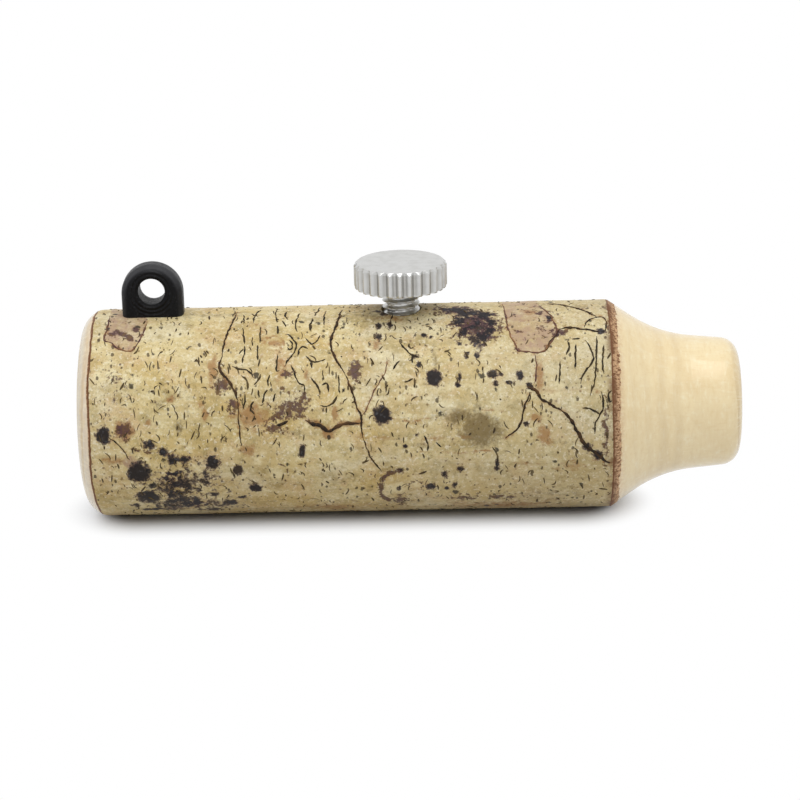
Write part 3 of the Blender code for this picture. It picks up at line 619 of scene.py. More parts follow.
class Finish(NodeBench):
    """A material's nodes on the piece's own coordinates."""

    def __init__(self, name):
        self.material = bpy.data.materials.new(name)
        self.material.use_nodes = True
        super().__init__(self.material.node_tree)
        self.shader = self.tree.nodes["Principled BSDF"]
        self.place = self.wire("ShaderNodeTexCoord", output="Object")

    def stretched(self, x, y, z):
        return self.vector("MULTIPLY", self.place, (x, y, z))

    def moved(self, *offset, place=None):
        return self.vector("ADD", place or self.place, offset)

    def noise(self, scale, detail=3.0, roughness=0.55, at=None):
        inputs = {"Vector": at or self.place, "Scale": scale, "Detail": detail, "Roughness": roughness}
        return self.wire("ShaderNodeTexNoise", inputs, "Fac")

    def cells(self, scale, at=None, feature="F1"):
        inputs = {"Vector": at or self.place, "Scale": scale}
        return self.wires("ShaderNodeTexVoronoi", inputs, feature=feature)

    def attribute(self, name):
        return self.wire("ShaderNodeAttribute", output="Fac", attribute_name=name)

    def mix(self, share, first, second, blend="MIX"):
        inputs = {0: share, 6: opaque(first), 7: opaque(second)}
        return self.wire("ShaderNodeMix", inputs, 2, data_type="RGBA", blend_type=blend)

    def layered(self, tone, *layers):
        """The tone under layers of (shade, pattern, low, high, start, end), laid one on another."""
        for shade, *pattern in layers:
            tone = self.mix(self.fade(*pattern), tone, shade)
        return tone

    def set(self, **values):
        for name, value in values.items():
            self.plug(self.shader.inputs[SOCKETS[name]], value)

    def bump(self, height, distance, strength=1.0, under=None):
        inputs = {"Height": height, "Distance": distance, "Strength": strength}
        if under is not None:
            inputs["Normal"] = under
        return self.wire("ShaderNodeBump", inputs)


def opaque(shade):
    return shade if isinstance(shade, Wire) else (*shade, 1.0)


def darker(shade, share):
    return tuple(share * c for c in shade)


class Rule(NodeBench):
    """A geometry node tree with named inputs, which ends in Realize Instances and Set Material."""

    def __init__(self, name, inputs):
        super().__init__(bpy.data.node_groups.new(name, "GeometryNodeTree"))
        for label, kind in {"Geometry": "Geometry", **inputs, "Finish": "Material"}.items():
            self.tree.interface.new_socket(label, in_out="INPUT", socket_type="NodeSocket" + kind)
        self.tree.interface.new_socket("Geometry", in_out="OUTPUT", socket_type="NodeSocketGeometry")
        self.given = self.wires("NodeGroupInput")

    def end(self, geometry):
        smooth = self.wire("GeometryNodeSetShadeSmooth", {"Geometry": geometry})
        single = self.wire("GeometryNodeRealizeInstances", {"Geometry": smooth})
        inputs = {"Geometry": single, "Material": self.given["Finish"]}
        self.node("NodeGroupOutput", {"Geometry": self.wire("GeometryNodeSetMaterial", inputs)})
        return self.tree


def applied(obj):
    """The object's mesh with its modifiers made part of it."""
    graph = bpy.context.evaluated_depsgraph_get()
    mesh = bpy.data.meshes.new_from_object(obj.evaluated_get(graph), depsgraph=graph)
    obj.modifiers.clear()
    return mesh


def ruled(source, tree, inputs):
    """A plain mesh from an object that the tree is run on. The object is removed."""
    bpy.context.scene.collection.objects.link(source)
    modifier = source.modifiers.new(tree.name, "NODES")
    modifier.node_group = tree
    for item in tree.interface.items_tree:
        if item.in_out == "INPUT" and item.name in inputs:
            modifier[item.identifier] = inputs[item.name]
    mesh = applied(source)
    bpy.data.objects.remove(source)
    return mesh


def piece(name, mesh, body, slot, *replaced):
    """A finished piece on its body, in place of the frame's own nodes."""
    mesh.name = name
    obj = bpy.data.objects.new(name, mesh)
    bpy.context.scene.collection.objects.link(obj)
    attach(obj, body)
    if replaced:
        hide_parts(*replaced)
    return obj


def grid_mesh(name, points, closed_rows):
    """A mesh over points[row, column, xyz], closed round its columns, and round its rows where asked."""
    rows, columns = points.shape[:2]
    steps = rows if closed_rows else rows - 1
    row = np.arange(steps)[:, None]
    column = np.arange(columns)[None, :]
    ahead = (row + 1) % rows
    beside = (column + 1) % columns
    places = ((row, column), (row, beside), (ahead, beside), (ahead, column))
    corners = [r * columns + c for r, c in places]
    faces = np.stack(np.broadcast_arrays(*corners), axis=-1).reshape(-1, 4)
    mesh = bpy.data.meshes.new(name)
    mesh.from_pydata(points.reshape(-1, 3).tolist(), [], faces.tolist())
    return mesh


def tidied(mesh, sharp_degrees, weld=0.0005 * MM):
    """Doubles merged, faces turned outwards, and round faces shaded smooth."""
    shell = bmesh.new()
    shell.from_mesh(mesh)
    bmesh.ops.remove_doubles(shell, verts=shell.verts, dist=weld)
    bmesh.ops.recalc_face_normals(shell, faces=shell.faces)
    shell.to_mesh(mesh)
    shell.free()
    mesh.shade_smooth()
    mesh.set_sharp_from_angle(angle=math.radians(sharp_degrees))
    return mesh


def rounded(corners, arc_step):
    """The path through corners (along, radius, rounding), with an arc at each corner that has a rounding."""
    path = []
    for i, (along, radius, rounding) in enumerate(corners):
        corner = Vector((along, radius))
        if rounding == 0:
            path.append(corner)
            continue
        back = (Vector(corners[i - 1][:2]) - corner).normalized()
        ahead = (Vector(corners[(i + 1) % len(corners)][:2]) - corner).normalized()
        half_angle = back.angle(ahead) / 2
        centre = corner + (back + ahead).normalized() * rounding / math.sin(half_angle)
        start = corner + back * rounding / math.tan(half_angle) - centre
        end = corner + ahead * rounding / math.tan(half_angle) - centre
        sweep = math.atan2(start.cross(end), start.dot(end))
        steps = max(4, math.ceil(abs(sweep) * rounding / arc_step))
        path += [centre + Matrix.Rotation(sweep * i / steps, 2) @ start for i in range(steps + 1)]
    return path


def divided(path, step):
    """The path with more points, no further apart than step."""
    points = []
    for first, second in zip(path, path[1:]):
        count = max(1, math.ceil((second - first).length / step))
        points += [first.lerp(second, i / count) for i in range(count)]
    return points + [path[-1]]


def round_wave(angles, scale, seed):
    """Smooth waves from -1 to 1 that close after a full turn."""
    return np.array([noise.noise((math.cos(a) * scale, math.sin(a) * scale, seed)) for a in angles])


def stem_points(along, radius, angles):
    """Points round the call's axis. The arrays are broadcast together."""
    along, radius, angles = np.broadcast_arrays(along, radius, angles)
    return np.stack([along, -radius * np.sin(angles), AXIS_HEIGHT + radius * np.cos(angles)], axis=-1)


def bored(mesh, name, radius):
    """The mesh with the screw's hole drilled down through its top."""
    drill = bpy.data.meshes.new("screw_drill")
    turn = np.linspace(0, 2 * math.pi, DRILL_SIDES, endpoint=False)
    rings = []
    for height in (DRILL_LOW, DRILL_HIGH):
        rings.append([(SCREW_X + radius * math.cos(t), radius * math.sin(t), height) for t in turn])
    shell = bmesh.new()
    loops = [[shell.verts.new(p) for p in ring] for ring in rings]
    for i in range(len(turn)):
        j = (i + 1) % len(turn)
        shell.faces.new((loops[0][i], loops[0][j], loops[1][j], loops[1][i]))
    shell.faces.new(reversed(loops[0]))
    shell.faces.new(loops[1])
    bmesh.ops.recalc_face_normals(shell, faces=shell.faces)
    shell.to_mesh(drill)
    shell.free()
    tool = bpy.data.objects.new("screw_drill", drill)
    blank = bpy.data.objects.new(name, mesh)
    for obj in (tool, blank):
        bpy.context.scene.collection.objects.link(obj)
    cut = blank.modifiers.new("screw_hole", "BOOLEAN")
    cut.operation = "DIFFERENCE"
    cut.solver = "MANIFOLD"
    cut.object = tool
    result = applied(blank)
    bpy.data.objects.remove(blank)
    bpy.data.objects.remove(tool)
    return result


def wood_mesh(sizes):
    """The turned branch: outlet end, the bed under the bark, cone, mouthpiece and both bores."""
    radius = sizes.bark_radius + 0.02 * MM
    slope = math.tan(sizes.shoulder_angle)
    neck_slope = math.tan(sizes.neck_taper)
    mouthpiece = WOOD_HIGH.x - sizes.shoulder
    throat = (radius - sizes.mouth_radius - neck_slope * mouthpiece) / (slope - neck_slope)
    under_start = sizes.bark_start + 0.8 * MM
    under_end = sizes.bark_end - 0.45 * MM
    bed = sizes.bark_bed - 0.1 * MM
    outlet_face = sizes.bark_radius - 0.05 * MM - sizes.outlet_rounding
    outlet = []
    for step in range(25):
        turn = math.pi / 2 * step / 24
        along = WOOD_LOW.x + sizes.outlet_rounding * (1 - math.cos(turn))
        if along < under_start:
            outlet.append(Vector((along, outlet_face + sizes.outlet_rounding * math.sin(turn))))
    neck = rounded(
        [
            (under_end, radius - (under_end - sizes.shoulder) * slope, 0),
            (sizes.shoulder + throat, radius - slope * throat, sizes.neck_sweep),
            (WOOD_HIGH.x, sizes.mouth_radius, sizes.mouth_rounding),
            (WOOD_HIGH.x, sizes.mouth_bore, sizes.lip_rounding),
            (sizes.chamber_end, sizes.mouth_bore, sizes.lip_rounding),
            (sizes.chamber_end, sizes.chamber_radius, sizes.lip_rounding),
            (WOOD_LOW.x, sizes.chamber_radius, sizes.lip_rounding),
            (WOOD_LOW.x, outlet_face, 0),
        ],
        WOOD_STEP,
    )
    bed_path = [Vector((under_start, bed)), Vector((under_end - 0.3 * MM, bed))]
    path = divided(outlet, WOOD_STEP) + divided(bed_path, 2 * MM) + divided(neck[:-1], 0.3 * MM)
    path += divided(neck[-2:], 0.3 * MM)[1:-1]
    angles = np.linspace(0, 2 * math.pi, WOOD_COLUMNS, endpoint=False)
    along = np.array([p.x for p in path])[:, None]
    radii = np.array([p.y for p in path])[:, None]
    points = stem_points(along, radii, angles[None, :])
    return grid_mesh("wooden_body", points, True)


def outlet_outline(sizes, along):
    """Radius of the bark at a place along the call, with the outlet end's rounding."""
    inside = np.clip(sizes.outlet_rounding + WOOD_LOW.x - along, 0, sizes.outlet_rounding)
    return sizes.bark_radius - sizes.outlet_rounding + np.sqrt(sizes.outlet_rounding**2 - inside**2)


def bark_mesh(sizes):
    """The bark as a sleeve with wavy cut ends and a low relief of its own."""
    columns, rows = BARK_COLUMNS, BARK_ROWS
    angles = np.linspace(0, 2 * math.pi, columns, endpoint=False)
    start = sizes.bark_start + 0.25 * MM * round_wave(angles, 1.6, 3.0)
    start += 0.06 * MM * round_wave(angles, 9.0, 5.0)
    corner = sizes.shoulder + 0.1 * MM * round_wave(angles, 1.4, 8.0)
    end = sizes.bark_end + 0.16 * MM * round_wave(angles, 2.4, 11.0)
    end += 0.26 * MM * round_wave(angles, 24.0, 2.0)
    share = np.linspace(0, 1, rows)[:, None]
    along = start + (corner - start) * share
    radii = outlet_outline(sizes, along) + sizes.bark_proud
    points = stem_points(along, radii, angles)
    for row in range(rows):
        for column in range(columns):
            spot = Vector(points[row, column])
            bumps = sum(share * noise.noise(spot * scale) for scale, share in BARK_BUMPS)
            radii[row, column] += sizes.bark_relief * (bumps - 0.5)
    radii[0] -= 0.12 * MM
    radii[-1] -= 0.02 * MM
    slope = math.tan(sizes.shoulder_angle)
    cut_along, cut_radii = [], []
    for share in (0.15, 0.3, 0.45, 0.6, 0.75, 0.9, 1.0):
        stand = 0.06 * MM + 0.03 * MM * round_wave(angles, 30.0, 20.0 * share) if share < 1 else -0.06 * MM
        spot = corner + (end - corner) * share
        cut_along.append(spot)
        cut_radii.append(sizes.bark_radius - np.maximum(spot - sizes.shoulder, 0) * slope + stand)
    inner_along = np.stack([end - 0.35 * MM, np.full(columns, -1 * MM), start + 0.5 * MM])
    inner_radii = np.full((3, columns), sizes.bark_bed)
    all_along = np.concatenate([along, np.stack(cut_along), inner_along])
    all_radii = np.concatenate([radii, np.stack(cut_radii), inner_radii])
    mesh = grid_mesh("bark_sleeve", stem_points(all_along, all_radii, angles), True)
    edges = {"start": start, "corner": corner, "angles": angles}
    return tidied(mesh, ALL_SMOOTH), edges


def bark_place(across, down):
    """Place on the bark, in mm along it and degrees round it, that the camera sees at a pixel."""
    scene = bpy.context.scene
    camera = scene.camera
    reach = camera.data.lens / camera.data.sensor_width * PHOTO_SIDE
    middle = PHOTO_SIDE / 2
    ray = camera.matrix_world.to_3x3() @ Vector(((across - middle) / reach, (middle - down) / reach, -1))
    eye = camera.matrix_world.translation - Vector((0, 0, AXIS_HEIGHT))
    round_ray = ray.y**2 + ray.z**2
    toward = eye.y * ray.y + eye.z * ray.z
    outside = eye.y**2 + eye.z**2 - scene.deer_call_sizes.bark_radius**2
    depth = (-toward - math.sqrt(max(toward**2 - round_ray * outside, 0))) / round_ray
    spot = eye + depth * ray
    return spot.x / MM, math.degrees(math.atan2(-spot.y, spot.z))


def both_sides(features):
    """Lines of places that the photograph shows, each followed by its like on the far side."""
    for feature in features:
        places = [bark_place(*pixel) for pixel in feature]
        yield places
        yield [(BACK_SHIFT - x, a + BACK_TURN) for x, a in places]


def both_blots(blots):
    """As both_sides, for blots."""
    for across, down, half_length, half_width, strength in blots:
        x, a = bark_place(across, down)
        yield x, a, half_length, half_width, strength
        yield BACK_SHIFT - x, a + BACK_TURN, half_length, half_width, strength


def turned_from(angles, centre, radius):
    """Length round the stem from an angle, in mm, positive or negative."""
    return np.radians((angles - centre + 180) % 360 - 180) * radius


def blot_field(along, angles, radius, blots):
    """1 in the middle of each blot, a half at its edge, and 0 further out, times its strength."""
    field = np.zeros_like(along)
    for x, a, half_length, half_width, strength in both_blots(blots):
        reach = np.hypot((along - x) / half_length, turned_from(angles, a, radius) / half_width)
        field = np.maximum(field, strength * np.clip(1 - reach / 2, 0, 1))
    return field


def streak_field(along, angles, radius, streaks):
    """As blot_field, for stains that run along lines."""
    field = np.zeros_like(along)
    for i, line in enumerate(both_sides([line for half, strength, line in streaks])):
        half, strength = streaks[i // 2][:2]
        reach = line_distance(along, angles, radius, line) / half
        field = np.maximum(field, strength * np.clip(1 - reach / 2, 0, 1))
    return field


def zone_field(along, angles, radius, zones):
    """The sum of level areas that fade out round their edges."""
    field = np.zeros_like(along)
    for x, a, half_length, half_width, gain in both_blots(zones):
        reach = np.hypot((along - x) / half_length, turned_from(angles, a, radius) / half_width)
        field += gain * np.clip(ZONE_END - reach, 0, 1)
    return field


def line_distance(along, angles, radius, line):
    """Distance in mm from a line of places on the bark."""
    nearest = np.full_like(along, np.inf)
    for (x0, a0), (x1, a1) in zip(line, line[1:]):
        side = math.radians(a1 - a0) * radius
        across = turned_from(angles, a0, radius)
        span = max((x1 - x0) ** 2 + side**2, 1e-9)
        share = np.clip(((along - x0) * (x1 - x0) + across * side) / span, 0, 1)
        nearest = np.minimum(nearest, np.hypot(along - x0 - share * (x1 - x0), across - share * side))
    return nearest


def patch_field(along, angles, radius, patches):
    """Above a half inside each outlined patch, and below it outside."""
    field = np.zeros_like(along)
    for outline in both_sides(patches):
        closed = list(outline) + [outline[0]]
        middle = sum(a for x, a in outline) / len(outline)
        across = turned_from(angles, middle, radius)
        inside = np.zeros(along.shape, bool)
        for (x0, a0), (x1, a1) in zip(closed, closed[1:]):
            s0, s1 = (math.radians(a - middle) * radius for a in (a0, a1))
            if s0 == s1:
                continue
            over = (across < s0) != (across < s1)
            inside ^= over & (along < x0 + (across - s0) / (s1 - s0) * (x1 - x0))
        gap = line_distance(along, angles, radius, closed)
        field = np.maximum(field, np.clip(0.5 + np.where(inside, gap, -gap) / PATCH_EDGE, 0, 1))
    return field


def paint_bark(mesh, sizes, edges):
    """Stores on the bark's points how much of each stain lies there."""
    points = np.empty(len(mesh.vertices) * 3)
    mesh.vertices.foreach_get("co", points)
    points = points.reshape(-1, 3)
    along = points[:, 0] / MM
    angles = np.degrees(np.arctan2(-points[:, 1], points[:, 2] - AXIS_HEIGHT)) % 360
    radius = sizes.bark_radius / MM
    where = (along, angles, radius)
    fields = {
        "soot": np.maximum(blot_field(*where, SOOT_BLOTS), zone_field(*where, SPECKLE_ZONES)),
        "plum": np.maximum(blot_field(*where, PLUM_BLOTS), streak_field(*where, PLUM_STREAKS)),
        "rust": np.maximum(blot_field(*where, RUST_BLOTS), streak_field(*where, RUST_STREAKS)),
        "moss": blot_field(*where, MOSS_BLOTS),
        "pale": blot_field(*where, PALE_BLOTS),
        "blush": patch_field(*where, BLUSH_PATCHES),
    }
    script = 1 + zone_field(*where, SCRIPT_ZONES)
    halo = np.zeros_like(along)
    for line in both_sides([line for width, line in BORDER_LINES + RUST_LINES]):
        halo = np.maximum(halo, np.clip(1 - line_distance(*where, line) / HALO_WIDTH, 0, 1))
    turn = np.radians(angles)
    start = np.interp(turn, edges["angles"], edges["start"], period=2 * math.pi) / MM
    corner = np.interp(turn, edges["angles"], edges["corner"], period=2 * math.pi) / MM
    cut = np.clip(1.1 - (along - start) / OUTLET_CUT, 0, 1)
    cut = np.maximum(cut, np.clip((along - corner) / CONE_CUT + 0.62, 0, 1))
    outside = np.hypot(points[:, 1], points[:, 2] - AXIS_HEIGHT) > sizes.bark_radius - 0.2 * MM
    fields["script"] = np.clip(script, 0, 3) * outside * (cut < 0.05)
    fields["halo"] = halo
    fields["cut"] = cut
    for name, values in fields.items():
        attribute = mesh.attributes.new(name, "FLOAT", "POINT")
        attribute.data.foreach_set("value", values.astype(np.float32))


def line_curve(name, lines):
    """A curve object with one spline for each (half width, places) line on the bark."""
    radius = bpy.context.scene.deer_call_sizes.bark_radius
    curve = bpy.data.curves.new(name, "CURVE")
    curve.dimensions = "3D"
    for half_width, line in lines:
        spots = smoothed(line)
        spline = curve.splines.new("POLY")
        spline.points.add(len(spots) - 1)
        for point, (x, a) in zip(spline.points, spots):
            turn = math.radians(a)
            point.co = (x * MM, -radius * math.sin(turn), AXIS_HEIGHT + radius * math.cos(turn), 1)
            point.radius = half_width * MM
    return bpy.data.objects.new(name, curve)


def smoothed(line):
    """The line with its corners cut twice."""
    for _ in range(2):
        cut = [line[0]]
        for (x0, a0), (x1, a1) in zip(line, line[1:]):
            cut.append((0.75 * x0 + 0.25 * x1, 0.75 * a0 + 0.25 * a1))
            cut.append((0.25 * x0 + 0.75 * x1, 0.25 * a0 + 0.75 * a1))
        line = cut + [line[-1]]
    return line


def lichen_line_rule():
    """A curve laid on the bark, wandering a little, and thickened to a low ridge with thin ends."""
    inputs = {
        "Bark": "Object",
        "Axis Height": "Float",
        "Step": "Float",
        "Waver": "Float",
        "Sink": "Float",
        "Sides": "Int",
        "Seed": "Float",
    }
    rule = Rule("lichen_line", inputs)
    given = rule.given
    bark = rule.wire("GeometryNodeObjectInfo", {"Object": given["Bark"]}, "Geometry")
    resample = {"Curve": given["Geometry"], "Length": given["Step"]}
    line = rule.wire("GeometryNodeResampleCurve", resample, mode="LENGTH")
    spot = rule.wire("GeometryNodeInputPosition")
    wander = {"Vector": spot, "W": given["Seed"], "Scale": 1300.0, "Detail": 3.0}
    wander = rule.wire("ShaderNodeTexNoise", wander, "Color", noise_dimensions="4D")
    wander = rule.vector("SUBTRACT", wander, (0.5, 0.5, 0.5))
    wander = rule.scaled(wander, given["Waver"] * 4.0)
    line = rule.wire("GeometryNodeSetPosition", {"Geometry": line, "Offset": wander})
    x, y, z = rule.split(spot)
    outward = rule.vector("NORMALIZE", rule.joined(0.0, y, z - given["Axis Height"]))
    above = rule.scaled(outward, FEELER_HEIGHT)
    above = rule.vector("ADD", rule.joined(x, 0.0, given["Axis Height"]), above)
    feeler = {
        "Target Geometry": bark,
        "Source Position": above,
        "Ray Direction": rule.scaled(outward, -1.0),
        "Ray Length": FEELER_LENGTH,
    }
    feeler = rule.wires("GeometryNodeRaycast", feeler)
    swell = {"Vector": spot, "W": given["Seed"], "Scale": 1900.0, "Detail": 2.0}
    swell = rule.wire("ShaderNodeTexNoise", swell, "Fac", noise_dimensions="4D")
    swell = rule.fade(swell, 0.3, 0.72, 0.55, 1.4)
    taper = rule.fade(near_end(rule), 0.0, 0.16, 0.3, 1.0)
    width = rule.wire("GeometryNodeInputRadius") * swell * taper
    seat = rule.scaled(outward, width * given["Sink"] * -1.0)
    seat = rule.vector("ADD", feeler["Hit Position"], seat)
    seated = {"Geometry": line, "Selection": feeler["Is Hit"], "Position": seat}
    line = rule.wire("GeometryNodeSetPosition", seated)
    ring = rule.wire("GeometryNodeCurvePrimitiveCircle", {"Resolution": given["Sides"], "Radius": 1.0})
    tube = {"Curve": line, "Profile Curve": ring, "Scale": width, "Fill Caps": True}
    return rule.end(rule.wire("GeometryNodeCurveToMesh", tube))


def near_end(rule):
    """Share of a spline from a point to its nearer end."""
    share = rule.wire("GeometryNodeSplineParameter", output="Factor")
    return rule.math("MINIMUM", share, 1.0 - share)


def lichen_dash_rule():
    """Short bent dashes scattered over the bark, most of them lying round the stem."""
    inputs = {
        "Bark": "Object",
        "Spread": "Float",
        "Longest": "Float",
        "Half Width": "Float",
        "Twist": "Float",
        "Seed": "Int",
    }
    rule = Rule("lichen_dash", inputs)
    given = rule.given
    seed = given["Seed"]
    bark = rule.wire("GeometryNodeObjectInfo", {"Object": given["Bark"]}, "Geometry")
    script = rule.wire("GeometryNodeInputNamedAttribute", {"Name": "script"}, "Attribute")
    scatter = {"Mesh": bark, "Density": script * given["Spread"], "Seed": seed}
    scatter = rule.wires("GeometryNodeDistributePointsOnFaces", scatter)
    width = rule.fade(near_end(rule), 0.0, 0.3, 0.35, 1.0)
    ring = rule.wire("GeometryNodeCurvePrimitiveCircle", {"Resolution": 5, "Radius": 1.0})
    shapes = rule.node("GeometryNodeGeometryToInstance")
    for bend, thick in DASH_SHAPES:
        path = {"Resolution": 5, "Start": (-0.5, 0, 0), "Middle": (0.1, bend, 0), "End": (0.5, bend * 0.4, 0)}
        path = rule.wire("GeometryNodeCurveQuadraticBezier", path)
        tube = {"Curve": path, "Profile Curve": ring, "Scale": width * thick, "Fill Caps": True}
        rule.plug(shapes.inputs[0], rule.wire("GeometryNodeCurveToMesh", tube))
    round_stem = rule.vector("CROSS_PRODUCT", (1, 0, 0), scatter["Normal"])
    lie = {"Primary Axis": scatter["Normal"], "Secondary Axis": round_stem}
    lie = rule.wire("FunctionNodeAxesToRotation", lie, primary_axis="Z", secondary_axis="X")
    turn = chance(rule, -1.0, 1.0, seed, 1) * chance(rule, -1.0, 1.0, seed, 2) * given["Twist"]
    turn = rule.wire("FunctionNodeAxisAngleToRotation", {"Axis": (0, 0, 1), "Angle": turn})
    lie = {"Rotation": lie, "Rotate By": turn}
    lie = rule.wire("FunctionNodeRotateRotation", lie, rotation_space="LOCAL")
    size = chance(rule, 0.16, 1.0, seed, 3) * given["Longest"]
    girth = chance(rule, 0.6, 1.25, seed, 4) * (given["Half Width"] * DASH_GIRTH)
    put = {
        "Points": scatter["Points"],
        "Instance": Wire(rule, shapes.outputs[0]),
        "Pick Instance": True,
        "Instance Index": chance(rule, 0, len(DASH_SHAPES) - 1, seed, 5, "INT"),
        "Rotation": lie,
        "Scale": rule.joined(size, girth, girth * 0.7),
    }
    return rule.end(rule.wire("GeometryNodeInstanceOnPoints", put))


def chance(rule, low, high, seed, salt, kind="FLOAT"):
    """A random value for each point."""
    node = rule.node("FunctionNodeRandomValue", data_type=kind)
    inputs = {socket.name: socket for socket in node.inputs if socket.enabled}
    for name, value in {"Min": low, "Max": high, "Seed": seed + salt}.items():
        rule.plug(inputs[name], value)
    return Wire(rule, next(socket for socket in node.outputs if socket.enabled))


def screw_rule():
    """Cuts the flutes into a turned screw's head and the thread into its shank."""
    inputs = {
        "Axis X": "Float",
        "Flutes": "Int",
        "Flute Depth": "Float",
        "Head Radius": "Float",
        "Head Bottom": "Float",
        "Thread Radius": "Float",
        "Thread Depth": "Float",
        "Thread Pitch": "Float",
        "Thread Top": "Float",
        "Thread Tip": "Float",
    }
    rule = Rule("screw_flutes_and_thread", inputs)
    given = rule.given
    x, y, z = rule.split(rule.wire("GeometryNodeInputPosition"))
    x = x - given["Axis X"]
    turn = rule.math("ARCTAN2", y, x)
    radius = rule.math("SQRT", x * x + y * y)
    ridge = rule.math("COSINE", given["Flutes"] * turn)
    valley = given["Flute Depth"] * 0.5 * (1.0 - ridge)
    fluted = rule.math("MINIMUM", radius, given["Head Radius"] - valley)
    in_head = z > given["Head Bottom"]
    phase = z / given["Thread Pitch"] - turn / (2 * math.pi)
    wave = abs(rule.math("FRACT", phase) * 2.0 - 1.0)
    flank = rule.wire("ShaderNodeMapRange", {"Value": wave, "From Min": 0.25, "From Max": 0.875})
    groove = given["Thread Depth"] * (1.0 - flank)
    low_end = rule.fade(z - given["Thread Tip"], 0.0, 0.25 * MM)
    high_end = rule.fade(given["Thread Top"] - z, 0.0, 0.05 * MM)
    groove = groove * (low_end * high_end)
    on_shank = (radius > given["Thread Radius"] - 0.002 * MM) * (z < given["Thread Top"])
    threaded = radius - groove * on_shank
    radius = threaded + in_head * (fluted - threaded)
    moved_x = given["Axis X"] + radius * rule.math("COSINE", turn)
    moved = rule.joined(moved_x, radius * rule.math("SINE", turn), z)
    inputs = {"Geometry": given["Geometry"], "Position": moved}
    return rule.end(rule.wire("GeometryNodeSetPosition", inputs))


def screw_blank(sizes):
    """The screw as turned, before its flutes and thread, from the head's middle to the hole in its tip."""
    top = SCREW_HIGH.z
    bottom = top - sizes.head_height
    tip = SCREW_LOW.z
    head = sizes.head_radius
    chamfer = sizes.head_chamfer
    thread_top = bottom - sizes.neck_length - NECK_RUN
    path = rounded(
        [
            (top - 0.02 * MM, 0.02 * MM, 0),
            (top, 1.2 * MM, 0),
            (top, head - chamfer, 0.12 * MM),
            (top - chamfer, head, 0.12 * MM),
            (bottom + sizes.head_foot, head, 0.06 * MM),
            (bottom, head - sizes.head_foot, 0.06 * MM),
            (bottom, sizes.neck_radius, 0.12 * MM),
            (thread_top + NECK_RUN, sizes.neck_radius, 0),
            (thread_top, sizes.thread_radius, 0),
        ],
        0.05 * MM,
    )
    path = divided(path, 0.35 * MM)
    shank = [Vector((thread_top, sizes.thread_radius)), Vector((tip + TIP_CHAMFER, sizes.thread_radius))]
    path += divided(shank, sizes.thread_pitch / THREAD_ROWS)[1:]
    socket_top = tip + sizes.pad_socket_depth
    inside = [
        (tip, sizes.thread_radius - TIP_CHAMFER),
        (tip, sizes.pad_socket),
        (socket_top, sizes.pad_socket),
        (socket_top, 0.02 * MM),
    ]
    path += divided([Vector(p) for p in inside], 0.4 * MM)
    angles = np.linspace(0, 2 * math.pi, sizes.flutes * FLUTE_COLUMNS, endpoint=False)
    heights = np.array([p.x for p in path])[:, None]
    radii = np.array([p.y for p in path])[:, None]
    shape = np.broadcast_arrays(SCREW_X + radii * np.cos(angles), radii * np.sin(angles), heights)
    mesh = grid_mesh("tuning_screw", np.stack(shape, axis=-1), False)
    shell = bmesh.new()
    shell.from_mesh(mesh)
    shell.verts.ensure_lookup_table()
    columns = len(angles)
    shell.faces.new(shell.verts[:columns])
    shell.faces.new(shell.verts[-columns:])
    bmesh.ops.recalc_face_normals(shell, faces=shell.faces)
    shell.to_mesh(mesh)
    shell.free()
    return mesh, bottom, thread_top


def eye_mesh(sizes):
    """A moulded arch with a round hole, rounded edges and a foot that sits in the bark."""
    side = (EYE_HIGH.x - EYE_LOW.x) / 2
    half = (EYE_HIGH.y - EYE_LOW.y) / 2
    crown = EYE_HIGH.z - side
    foot = AXIS_HEIGHT + sizes.bark_radius - sizes.eye_sink

    def arch(inset):
        rise = np.linspace(foot, crown, 14)[:-1]
        turn = np.linspace(0, math.pi, 73)
        base = np.linspace(-1, 1, 26)[1:-1]
        reach = side - inset
        wall = np.full_like(rise, reach)
        xs = np.concatenate([wall, reach * np.cos(turn), -wall, reach * base])
        zs = np.concatenate([rise, crown + reach * np.sin(turn), rise[::-1], np.full_like(base, foot)])
        return np.stack([xs, zs], axis=-1)

    centre = np.array([0.0, EYE_HOLE_HEIGHT])
    spokes = arch(0.0) - centre
    spokes /= np.linalg.norm(spokes, axis=1)[:, None]
    front = []
    rim = sizes.eye_rim
    for step in range(7):
        turn = math.pi / 2 * step / 6
        loop = centre + spokes * (sizes.eye_hole + rim * (1 - math.cos(turn)))
        front.append((loop, half - rim * (1 - math.sin(turn))))
    rim_loop = front[-1][0]
    for share in (0.12, 0.3, 0.5, 0.7, 0.88):
        front.append((rim_loop + (arch(sizes.eye_rounding) - rim_loop) * share, half))
    for step in range(9):
        turn = math.pi / 2 * step / 8
        edge = sizes.eye_rounding
        front.append((arch(edge * (1 - math.sin(turn))), half - edge * (1 - math.cos(turn))))
    outside, inside = front[-1][0], front[0][0]
    loops = [(loop, -depth) for loop, depth in front]
    loops += [(outside, share * (half - sizes.eye_rounding)) for share in (-0.5, 0.0, 0.5)]
    loops += reversed(front)
    loops += [(inside, share * (half - rim)) for share in (0.5, 0.0, -0.5)]
    points = [np.stack([EYE_X + loop[:, 0], np.full(len(loop), y), loop[:, 1]], axis=-1) for loop, y in loops]
    return tidied(grid_mesh("lanyard_eye", np.stack(points), True), EYE_SHARP)


